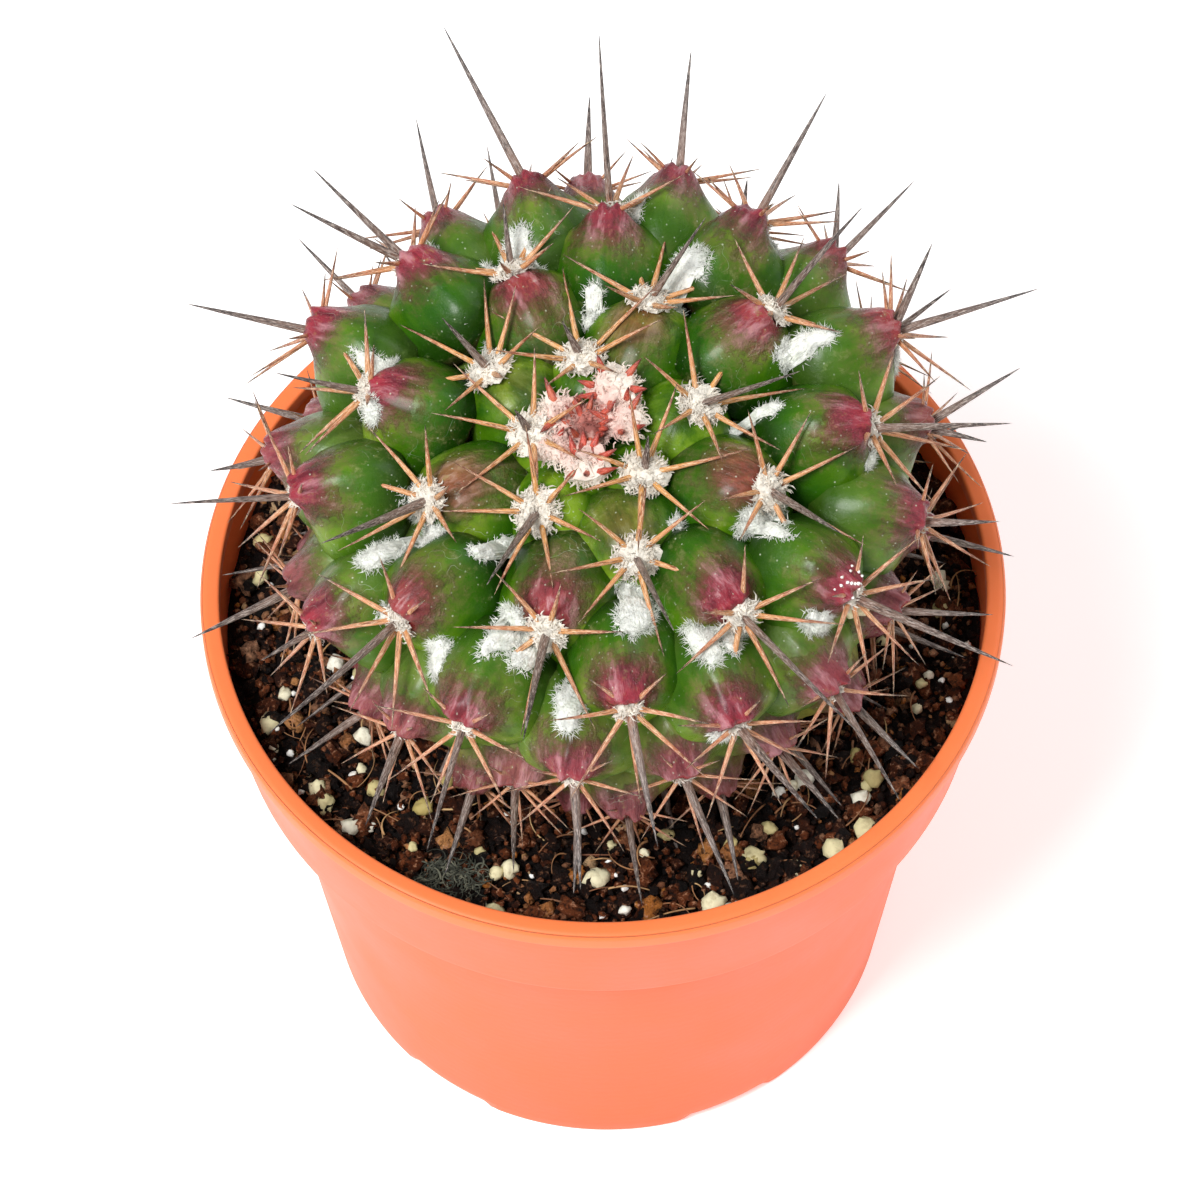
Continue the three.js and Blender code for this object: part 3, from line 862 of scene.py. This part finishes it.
def hornMaterial(name):
    look = hornLooks[name]
    material, tree, shader = newMaterial(name)
    along = attribute(tree, "along")
    kind = attribute(tree, "kind")
    fibre = attribute(tree, "fibre", "Vector")
    streaks = noiseField(tree, fibre, 2.2, 4, 0.6)
    fine = noiseField(tree, fibre, 6.0, 3, 0.7)
    place = plus(tree, along, remap(tree, streaks, 0.3, 0.7, -0.1, 0.1))
    place = plus(tree, place, remap(tree, kind, 0, 1, -0.08, 0.1))
    colour = colourRamp(tree, place, look["stops"])
    dusky = times(tree, remap(tree, kind, 0.15, 0.95, 0, 0.65), remap(tree, place, 0.85, 0.5))
    colour = mixColour(tree, dusky, colour, look["dusky"])
    # painted shade along some streaks, then pale streaks that are painted highlights, partly the horn's own
    # paler streaks
    colour = layered(tree, colour, [
        (streaks, 0.5, 0.4, 0.85, look["shade"]), (fine, 0.51, 0.59, look["highlightShare"], look["streak"]),
    ])
    feed(tree, shader, {"Base Color": colour, "Roughness": remap(tree, fine, 0.35, 0.65, 0.3, 0.5)})
    addBump(tree, shader, fine, 0.5, 0.0002)
    return material


# wool

wool = {
    "youngPad": 4.6,
    "oldPad": 2.3,
    "domeShare": 0.74,
    "coreShare": 0.95,
    "padFibres": 290,
    "padFibreLength": (0.5, 1.2),
    "padFibreRadius": 0.16,
    "padCurl": 0.3,
    "tuftHeight": 0.6,
    "tuftFibres": 66,
    "tuftFibreLength": (0.5, 1.4),
    "tuftFibreRadius": 0.06,
    "tuftReach": 0.86,
    "feltShare": 0.82,
    "cream": (0.90, 0.84, 0.74),
    "axilWhite": (0.90, 0.91, 0.85),
    "pink": (0.90, 0.66, 0.58),
    "crimson": (0.50, 0.12, 0.09),
    "creamStain": (0.60, 0.47, 0.34),
    "axilStain": (0.55, 0.62, 0.48),
    "heart": (0.22, 0.035, 0.025),
    "crownFibres": 210,
    "newSpineLength": (2.2, 4.2),
    "newSpineRadius": (0.45, 0.68),
}

# white wool in the creases: it lies between two tubercles, at a share of the way, with a half width
axilTufts = [
    (12, 25, 0.22, 3.6), (12, 33, 0.22, 2.6), (9, 22, 0.3, 4.0), (14, 19, 0.3, 3.2), (6, 19, 0.37, 1.8),
    (10, 23, 0.2, 3.6), (10, 18, 0.3, 2.8), (15, 20, 0.2, 3.4), (15, 10, 0.2, 2.6), (11, 24, 0.2, 2.4),
    (11, 16, 0.27, 3.4), (13, 18, 0.27, 3.4), (13, 26, 0.24, 3.0), (8, 21, 0.35, 3.8), (18, 26, 0.42, 3.2),
    (18, 31, 0.3, 2.4), (21, 26, 0.38, 3.0), (10, 31, 0.42, 3.2), (5, 18, 0.36, 2.2), (4, 17, 0.36, 2.2),
    (16, 29, 0.2, 3.6), (16, 21, 0.33, 3.0), (24, 29, 0.24, 3.0), (7, 20, 0.26, 2.4), (3, 16, 0.36, 1.6),
    (17, 30, 0.3, 3.0), (22, 35, 0.3, 3.0), (20, 33, 0.3, 3.0), (28, 41, 0.3, 2.8), (25, 38, 0.3, 3.0),
    (27, 40, 0.25, 2.8), (23, 36, 0.3, 2.6), (30, 43, 0.3, 2.6), (29, 42, 0.25, 2.4), (19, 32, 0.3, 2.2),
]


def padSize(tub):
    size = blendBetween(wool["youngPad"], wool["oldPad"], (tub.place - 6) / 20)
    return size * blendBetween(1.0, 0.7, (tub.place - 28) / 20)


def wildness(dice, spread):
    return Vector((dice.gauss(0, spread), dice.gauss(0, spread), dice.gauss(0, spread)))


def addFibre(bm, template, root, direction, length, radius, curl=0.0):
    turn = turnTo(direction)
    for vert in stamp(bm, template):
        x, y, z = vert.co
        bent = (x * radius + curl * math.sin(4 * z), y * radius + curl * (1 - math.cos(3 * z)), z * length)
        vert.co = root + turn @ Vector(bent)


def woolPad(bm, dome, fibre, middle, facing, size, height, fibres, dice):
    side = facing.orthogonal().normalized()
    other = facing.cross(side)
    turn = turnTo(facing)
    for vert in stamp(bm, dome):
        place = vert.co.copy()
        lump = 1 + 0.5 * noise.noise(place * 2.6 + middle * 0.7)
        reach = size * wool["domeShare"] * wool["coreShare"] * lump
        vert.co = middle + turn @ Vector((place.x * reach, place.y * reach, place.z * height * lump))
    for i in range(fibres):
        around = dice.uniform(0, 2 * math.pi)
        out = math.sqrt(dice.random())
        sideways = side * math.cos(around) + other * math.sin(around)
        root = middle + sideways * out * size * wool["domeShare"]
        root += facing * height * (0.8 - 0.75 * out * out)
        direction = facing * (1.0 - 0.9 * out) + sideways * (0.25 + 0.9 * out) + wildness(dice, 0.6)
        addFibre(bm, fibre, root, direction.normalized(), dice.uniform(*wool["padFibreLength"]),
                 wool["padFibreRadius"] * dice.uniform(0.7, 1.3), dice.gauss(0, wool["padCurl"]))


# how far above and below a place the flesh is looked for
skinReach = 9


def woolTuft(bm, felt, fibre, skin, first, second, share, size, dice):
    # a thin felt that hugs the flesh, ragged at its edge, with short fibres on it
    middle = first.tip.lerp(second.tip, share)
    axis = (first.axis + second.axis).normalized()
    side = (second.tip - first.tip).normalized()
    other = axis.cross(side).normalized()

    def reach(around):
        ragged = noise.noise(Vector((math.cos(around) * 1.9, math.sin(around) * 1.9, first.place + share)))
        return wool["tuftReach"] * size * (1 + 0.5 * ragged)

    def onFlesh(across, along):
        above = middle + other * across + side * 0.8 * along + axis * skinReach
        return skin.ray_cast(above, -axis, 2 * skinReach)[:2]

    for vert in stamp(bm, felt):
        x, y, z = vert.co
        around = math.atan2(y, x)
        out = math.hypot(x, y) * wool["feltShare"] * reach(around)
        root, normal = onFlesh(out * math.cos(around), out * math.sin(around))
        if root is None:
            root, normal = middle - axis * 4, axis
        bumps = 1 + 0.3 * noise.noise(root * 0.9) + 0.35 * noise.noise(root * 2.7)
        vert.co = root + normal * (wool["tuftHeight"] * bumps * z + 0.12 if z >= 0 else 0.6 * z)
    for i in range(int(wool["tuftFibres"] * size * size)):
        around = dice.uniform(0, 2 * math.pi)
        out = dice.random() ** 0.35
        across = out * reach(around) * math.cos(around)
        along = out * reach(around) * math.sin(around)
        root, normal = onFlesh(across, along)
        if root is None:
            continue
        outward = (other * across + side * along).normalized()
        direction = normal * (0.9 - 0.6 * out) + outward * out + wildness(dice, 0.8)
        root += normal * wool["tuftHeight"] * 0.8 * (1 - out * out)
        addFibre(bm, fibre, root, direction.normalized(), dice.uniform(*wool["tuftFibreLength"]),
                 wool["tuftFibreRadius"] * dice.uniform(0.7, 1.6))


def buildWool(skin):
    dice = random.Random(11)
    fibre = asTemplate(spunShape([(0, 0), (1, 0), (0, 1)], 3), "fibreShape")
    curly = asTemplate(spunShape([(0, 0), (1, 0), (0.9, 0.35), (0.75, 0.7), (0, 1)], 3), "curlyFibre")
    pad = [(0, -0.4), (0.9, -0.3), (1, 0.1), (0.8, 0.6), (0.4, 0.92), (0, 1)]
    dome = asTemplate(spunShape(pad, 14), "padShape")
    pads = bmesh.new()
    for tub in spinyOnes:
        size = padSize(tub)
        share = size / wool["youngPad"]
        woolPad(pads, dome, curly, tub.tip + tub.facing * 0.4, tub.facing, size, 1.1 * share + 0.3,
                int(wool["padFibres"] * share * share + 24), dice)
    cream = woolMaterial("areoleWool", wool["cream"], wool["creamStain"], 0.25)
    addPiece("areole_wool", pads, [cream], smooth=False)
    tufts = bmesh.new()
    rings = [(i / 11, 1 - (i / 11) ** 3) for i in range(12)]
    felt = asTemplate(spunShape(rings + [(0.92, -1), (0, -1)], 40), "feltShape")
    for first, second, share, size in axilTufts:
        woolTuft(tufts, felt, fibre, skin, tubercles[first], tubercles[second], share, size, dice)
    white = woolMaterial("axilWool", wool["axilWhite"], wool["axilStain"], 0.35)
    addPiece("axil_wool", tufts, [white], smooth=False)
    buildCrown(dome, curly, dice)


crownTufts = [
    # across, towards the back, half width, height above the skin, red spines
    (-0.3, 0.6, 4.4, 0.7, 11), (-0.8, -5.2, 4.9, 1.5, 7), (3.6, 6.4, 5.2, 1.3, 7), (-4.4, 3.2, 4.6, 0.8, 3),
    (4.6, 1.4, 4.8, 1.0, 4), (-5.4, -2.0, 3.8, 0.6, 1),
]


def buildCrown(dome, fibre, dice):
    crown = bmesh.new()
    up = lean @ Vector((0, 0, 1))
    for x, y, size, height, count in crownTufts:
        woolPad(crown, dome, fibre, leaned((x, y, 0.3)), up, size, height + 0.8, wool["crownFibres"], dice)
    fleece = woolMaterial("crownFleece", wool["pink"], wool["crimson"], 0.8, leaned((-0.3, 0.6, 1.2)) * mm)
    addPiece("crown_fleece", crown, [fleece], ["crown_wool"], smooth=False)
    young = bmesh.new()
    layers = spineLayers(young)
    template = asTemplate(spunShape(spines["profile"], 6), "youngShape")
    for x, y, size, height, count in crownTufts:
        middle = leaned((x, y, 0.3))
        for i in range(count):
            around = 2.4 * i + x
            out = size * (0.45 + 0.3 * dice.random())
            sideways = lean @ Vector((math.cos(around), math.sin(around), 0))
            root = middle + sideways * out * 0.75 + up * height * 0.8
            direction = up * 0.6 + sideways * dice.uniform(0.3, 1.2)
            direction += Vector((dice.gauss(0, 0.2), dice.gauss(0, 0.2), 0))
            addSpine(young, template, layers, root, direction.normalized(),
                     dice.uniform(*wool["newSpineLength"]), dice.uniform(*wool["newSpineRadius"]), (0, 0),
                     kind=dice.random())
    addPiece("new_spines", young, [hornMaterial("newHorn")])


def woolMaterial(name, colour, stain, stainShare, darkHeart=None):
    material, tree, shader = newMaterial(name)
    coords = objectCoords(tree)
    clumps = noiseField(tree, coords, 700, 4)
    patches = noiseField(tree, coords, 260, 5, 0.7)
    shade = mixColour(tree, remap(tree, clumps, 0.35, 0.6), tuple(0.72 * c for c in colour), colour)
    shade = mixColour(tree, remap(tree, patches, 0.52, 0.64, 0, stainShare), shade, stain)
    if darkHeart is not None:
        # cream away from the heart, crimson close to it
        away = addNode(tree, "ShaderNodeVectorMath", {"operation": "DISTANCE"}, i0=coords,
                       i1=darkHeart).outputs["Value"]
        ragged = plus(tree, away, remap(tree, patches, 0.3, 0.7, -0.0025, 0.0025))
        shade = layered(tree, shade, [
            (ragged, 0.0052, 0.008, 0.8, wool["cream"]), (ragged, 0.0036, 0.0018, 0.9, wool["heart"]),
        ])
    addBump(tree, shader, noiseField(tree, coords, 2400, 3, 0.7), 0.7, 0.0003)
    feed(tree, shader, {
        "Base Color": shade, "Roughness": 0.95, "Subsurface Weight": 0.2,
        "Subsurface Radius": (1, 0.9, 0.8), "Subsurface Scale": 0.0006,
    })
    return material


# potting mix

mix = {
    "top": 84.5,
    "radius": 56.5,
    "rise": 1.0,
    "lump": 0.6,
    "steps": 180,
    "wallRadius": 57.0,
    "crumbs": 3400,
    "fineCrumbs": 5600,
    "crumbRing": (24, 55.4),
    "largeCrumbSize": (1.0, 2.1),
    "smallCrumbSize": (0.35, 0.9),
    "grains": 150,
    "grainRing": (36, 55.0),
    "grainSizes": (0.4, 0.6, 0.9, 1.2, 1.5),
    "dustedPlace": 24,
    "dustSpecks": 14,
    "caughtGrain": 1.8,
    "threads": 130,
    "threadRing": (34, 53),
    "threadLength": (3, 8),
}

# the tangle of moss: its middle on the mix, its half widths and how high it heaps up
moss = {
    "middle": (-23.0, -45.0),
    "reach": (5.0, 3.6),
    "heap": 1.9,
    "threads": 240,
    "threadLength": (1.0, 2.6),
}

# the larger grains: turn, distance from the axis, radius
largeGrains = [
    (287, 52, 1.9), (315, 53.5, 1.8), (309, 53, 2), (268, 45.5, 1.9),
    (252, 53.5, 1.8), (200, 53, 1.8), (218, 52.5, 1.6), (297, 47.5, 1.7),
]


def mixHeight(x, y):
    rise = mix["rise"] * (1 - math.hypot(x, y) / mix["radius"])
    return mix["top"] + rise + mix["lump"] * math.sin(0.35 * x + 0.9) * math.cos(0.3 * y + 0.4)


def buildMix(soil):
    p = pot
    wall, gap = p["wall"], 0.4
    collarBottom = p["height"] - p["collarHeight"]
    rings = 60
    sides = [
        (0, p["footHeight"] + p["floorThickness"] + gap),
        (p["baseRadius"] - wall - gap, p["footHeight"] + p["floorThickness"] + gap),
        (p["bodyTopRadius"] - wall - gap, collarBottom + wall),
        (p["collarFootRadius"] - wall - gap, collarBottom + 2 * wall + gap),
    ]
    top = [(mix["radius"] * (1 - i / rings), mix["top"]) for i in range(rings + 1)]
    bm = spunShape(sides + top, mix["steps"])
    tone = bm.verts.layers.float.new("tone")
    for vert in bm.verts:
        if vert.co.z > mix["top"] - 0.1:
            x, y, z = vert.co
            rough = 0.9 * noise.noise(Vector((x, y, 3)) * 0.4) + 0.5 * noise.noise(Vector((x, y, 7)) * 1.1)
            vert.co.z = mixHeight(x, y) - 1.2 + rough
        # a near-black tone: the dark peat deepened into painted shade for the gaps between the crumbs
        vert[tone] = 0.1
    addPiece("peat_and_shade_bed", bm, [soil], ["potting_mix"])


def lumpTemplates(around, levels, count, roughness, name):
    found = []
    for i in range(count):
        bm = bmesh.new()
        bmesh.ops.create_uvsphere(bm, u_segments=around, v_segments=levels, radius=1)
        for vert in bm.verts:
            coarse = noise.noise(vert.co * 1.3 + Vector((i * 5.3, 0, 2)))
            fine = noise.noise(vert.co * 3.1 + Vector((0, i * 3.1, 5)))
            vert.co *= 1 + roughness * (coarse + 0.5 * fine)
        found.append(asTemplate(bm, f"{name}{i}"))
    return found


def scatterPlace(dice, inner, outer):
    angle = dice.uniform(0, 2 * math.pi)
    distance = math.sqrt(dice.uniform(inner * inner, outer * outer))
    return distance * math.cos(angle), distance * math.sin(angle)


def addLump(bm, template, tone, value, place, radii, dice):
    turn = Matrix.Rotation(dice.uniform(0, 6.28), 3, "Z") @ Matrix.Rotation(dice.gauss(0, 0.5), 3, "X")
    for vert in stamp(bm, template):
        vert.co = Vector(place) + turn @ Vector([c * r for c, r in zip(vert.co, radii)])
        vert[tone] = value


def buildCrumbs(name, seed, count, bigOnes, soil):
    # bigOnes is how many of every five crumbs are large
    dice = random.Random(seed)
    bm = bmesh.new()
    tone = bm.verts.layers.float.new("tone")
    large = lumpTemplates(8, 6, 6, 1.0, name + "Crumb")
    small = lumpTemplates(5, 4, 4, 0.9, name + "Bit")
    for i in range(count):
        x, y = scatterPlace(dice, *mix["crumbRing"])
        big = i % 5 < bigOnes
        size = dice.uniform(*mix["largeCrumbSize" if big else "smallCrumbSize"])
        size = min(size, mix["wallRadius"] - math.hypot(x, y))
        z = mixHeight(x, y) - 0.6 + dice.uniform(-1.0, 1.3)
        radii = (size, size * dice.uniform(0.55, 0.95), size * dice.uniform(0.5, 0.95))
        addLump(bm, dice.choice(large if big else small), tone, dice.random(), (x, y, z), radii, dice)
    addPiece(name, bm, [soil])


def buildGrains(skin):
    dice = random.Random(23)
    bm = bmesh.new()
    tone = bm.verts.layers.float.new("tone")
    shapes = lumpTemplates(10, 7, 5, 0.5, "grain")
    for turn, distance, radius in largeGrains:
        angle = math.radians(turn)
        x, y = distance * math.cos(angle), distance * math.sin(angle)
        place = (x, y, mixHeight(x, y) + 0.35 * radius)
        radii = (radius, radius * 0.85, radius * 0.75)
        addLump(bm, dice.choice(shapes), tone, dice.uniform(0.3, 0.7), place, radii, dice)
    for i in range(mix["grains"]):
        x, y = scatterPlace(dice, *mix["grainRing"])
        size = dice.choice(mix["grainSizes"])
        size = min(size, mix["wallRadius"] - 0.4 - math.hypot(x, y))
        place = (x, y, mixHeight(x, y) + 0.3 * size + 0.2)
        value = 1.0 if size < 0.8 else dice.uniform(0.0, 0.95)
        shape = dice.choice(shapes)
        addLump(bm, shape, tone, value, place, (size, size * dice.uniform(0.7, 1), size * 0.8), dice)
    dusted = tubercles[mix["dustedPlace"]]
    for i in range(mix["dustSpecks"] + 1):
        # specks on one purple cap, and last a single grain caught below its areole
        last = i == mix["dustSpecks"]
        drift = -3.8 if last else dice.gauss(3.4, 1.3)
        above = dusted.tip + dusted.dorsal * drift + dusted.across * (-0.5 if last else dice.gauss(0, 1.7))
        spot = skin.ray_cast(above + dusted.axis * skinReach, -dusted.axis, 2 * skinReach)[0]
        size = mix["caughtGrain"] if last else dice.uniform(0.14, 0.28)
        if spot is not None:
            value = 0.6 if last else 1.0
            place = spot + dusted.axis * 0.5 * size
            addLump(bm, dice.choice(shapes), tone, value, place, [size] * 3, dice)
    addPiece("pumice_and_perlite", bm, [grainStone()], grainNodes)


def grainStone():
    material, tree, shader = newMaterial("grainStone")
    coords = objectCoords(tree)
    tone = attribute(tree, "tone")
    pores = noiseField(tree, coords, 900, 4)
    base = colourRamp(tree, tone, [
        (0, (0.42, 0.33, 0.10)), (0.35, (0.66, 0.58, 0.30)), (0.7, (0.80, 0.74, 0.50)),
        (1.0, (0.95, 0.94, 0.90)),
    ])
    colour = mixColour(tree, remap(tree, pores, 0.5, 0.3, 0, 0.5), base, (0.30, 0.22, 0.10))
    feed(tree, shader, {"Base Color": colour, "Roughness": 0.7})
    addBump(tree, shader, pores, 0.5, 0.0004)
    return material


def peat():
    material, tree, shader = newMaterial("peatAndBark")
    coords = objectCoords(tree)
    tone = attribute(tree, "tone")
    flecks = noiseField(tree, coords, 900, 5, 0.72)
    base = colourRamp(tree, tone, [
        (0.0, (0.002, 0.001, 0.001)), (0.35, (0.014, 0.003, 0.001)), (0.6, (0.095, 0.019, 0.003)),
        (0.82, (0.21, 0.056, 0.017)), (0.92, (0.30, 0.15, 0.085)), (0.97, (0.46, 0.15, 0.02)),
        (1.0, (0.60, 0.40, 0.22)),
    ])
    colour = mixColour(tree, remap(tree, flecks, 0.5, 0.38, 0, 0.85), base, (0.003, 0.0012, 0.0008))
    lit = times(tree, remap(tree, flecks, 0.56, 0.64), remap(tree, tone, 0.15, 0.6, 0.1, 0.9))
    colour = mixColour(tree, lit, colour, (0.62, 0.30, 0.17))
    glints = times(tree, remap(tree, noiseField(tree, coords, 2600, 3, 0.6), 0.62, 0.7), lit)
    colour = mixColour(tree, glints, colour, (0.85, 0.66, 0.50))
    wet = remap(tree, flecks, 0.42, 0.62, 0.75, 0.25)
    feed(tree, shader, {"Base Color": colour, "Roughness": wet, "Specular IOR Level": 0.22})
    addBump(tree, shader, flecks, 1.0, 0.0012)
    return material


def addThread(bm, template, start, heading, length, radius, curl, layer, value, lift):
    # a curved root or moss thread, laid on the mix
    for vert in stamp(bm, template):
        along = vert.co.z
        turned = heading + curl * along
        course = Vector((math.cos(turned), math.sin(turned), 0))
        side = Vector((-course.y, course.x, 0))
        rise = lift * math.sin(math.pi * along)
        vert.co = (start + course * along * length + side * vert.co.x * radius
                   + Vector((0, 0, rise + vert.co.y * radius)))
        vert[layer] = value


def buildThreads():
    dice = random.Random(31)
    profile = [(0, 0)] + [(1 - 0.5 * (i / 8), i / 8) for i in range(9)] + [(0, 1)]
    template = asTemplate(spunShape(profile, 5), "threadShape")
    roots = bmesh.new()
    tone = roots.verts.layers.float.new("tone")
    for i in range(mix["threads"]):
        x, y = scatterPlace(dice, *mix["threadRing"])
        length = dice.uniform(*mix["threadLength"])
        # most threads lie across the way to the axis, so that they stay clear of the wall
        heading = math.atan2(y, x) + dice.choice((-1, 1)) * dice.uniform(1.2, 1.9)
        start = Vector((x, y, mixHeight(x, y) + 0.5))
        addThread(roots, template, start, heading, length, dice.uniform(0.1, 0.22),
                  dice.uniform(-1.2, 1.2), tone, dice.random(), dice.uniform(0.1, 1.0))
    straw = threadMaterial("dryStraw", "straw", 600)
    addPiece("dry_roots", roots, [straw])
    tangle = bmesh.new()
    tone = tangle.verts.layers.float.new("tone")
    for i in range(moss["threads"]):
        angle, out = dice.uniform(0, 6.28), math.sqrt(dice.random())
        x = moss["middle"][0] + moss["reach"][0] * out * math.cos(angle)
        y = moss["middle"][1] + moss["reach"][1] * out * math.sin(angle)
        start = Vector((x, y, mixHeight(x, y) + 0.3 + moss["heap"] * (1 - out * out)))
        addThread(tangle, template, start, dice.uniform(0, 6.28), dice.uniform(*moss["threadLength"]),
                  dice.uniform(0.12, 0.22), dice.uniform(-4, 4), tone, dice.random(),
                  dice.uniform(-0.3, 1.0))
    mossy = threadMaterial("mossThreads", "moss", 700)
    addPiece("moss_tangle", tangle, [mossy], ["moss_clump"])


# colours by tone, then the spots', how far they cover it, and the roughness
threadLooks = {
    "straw": ([(0, (0.20, 0.07, 0.03)), (0.5, (0.42, 0.20, 0.08)), (1.0, (0.60, 0.40, 0.18))],
              (0.1, 0.05, 0.03), 0.6, 0.7),
    "moss": ([(0, (0.018, 0.02, 0.014)), (0.6, (0.07, 0.075, 0.055)), (1.0, (0.17, 0.17, 0.12))],
             (0.03, 0.03, 0.02), 0.5, 0.9),
}


def threadMaterial(name, look, spotScale):
    stops, spotColour, spotShare, roughness = threadLooks[look]
    material, tree, shader = newMaterial(name)
    base = colourRamp(tree, attribute(tree, "tone"), stops)
    spots = remap(tree, noiseField(tree, objectCoords(tree), spotScale, 3), 0.4, 0.7, 0, spotShare)
    feed(tree, shader, {"Base Color": mixColour(tree, spots, base, spotColour), "Roughness": roughness})
    return material


addCamera()
addStudio()
print("camera and studio placed")
buildPot()
skin = buildStem()
buildSpines()
buildWool(skin)
soil = peat()
buildMix(soil)
buildCrumbs("bark_crumbs", 5, mix["crumbs"], 2, soil)
buildCrumbs("fine_bark", 6, mix["fineCrumbs"], 0, soil)
buildGrains(skin)
buildThreads()
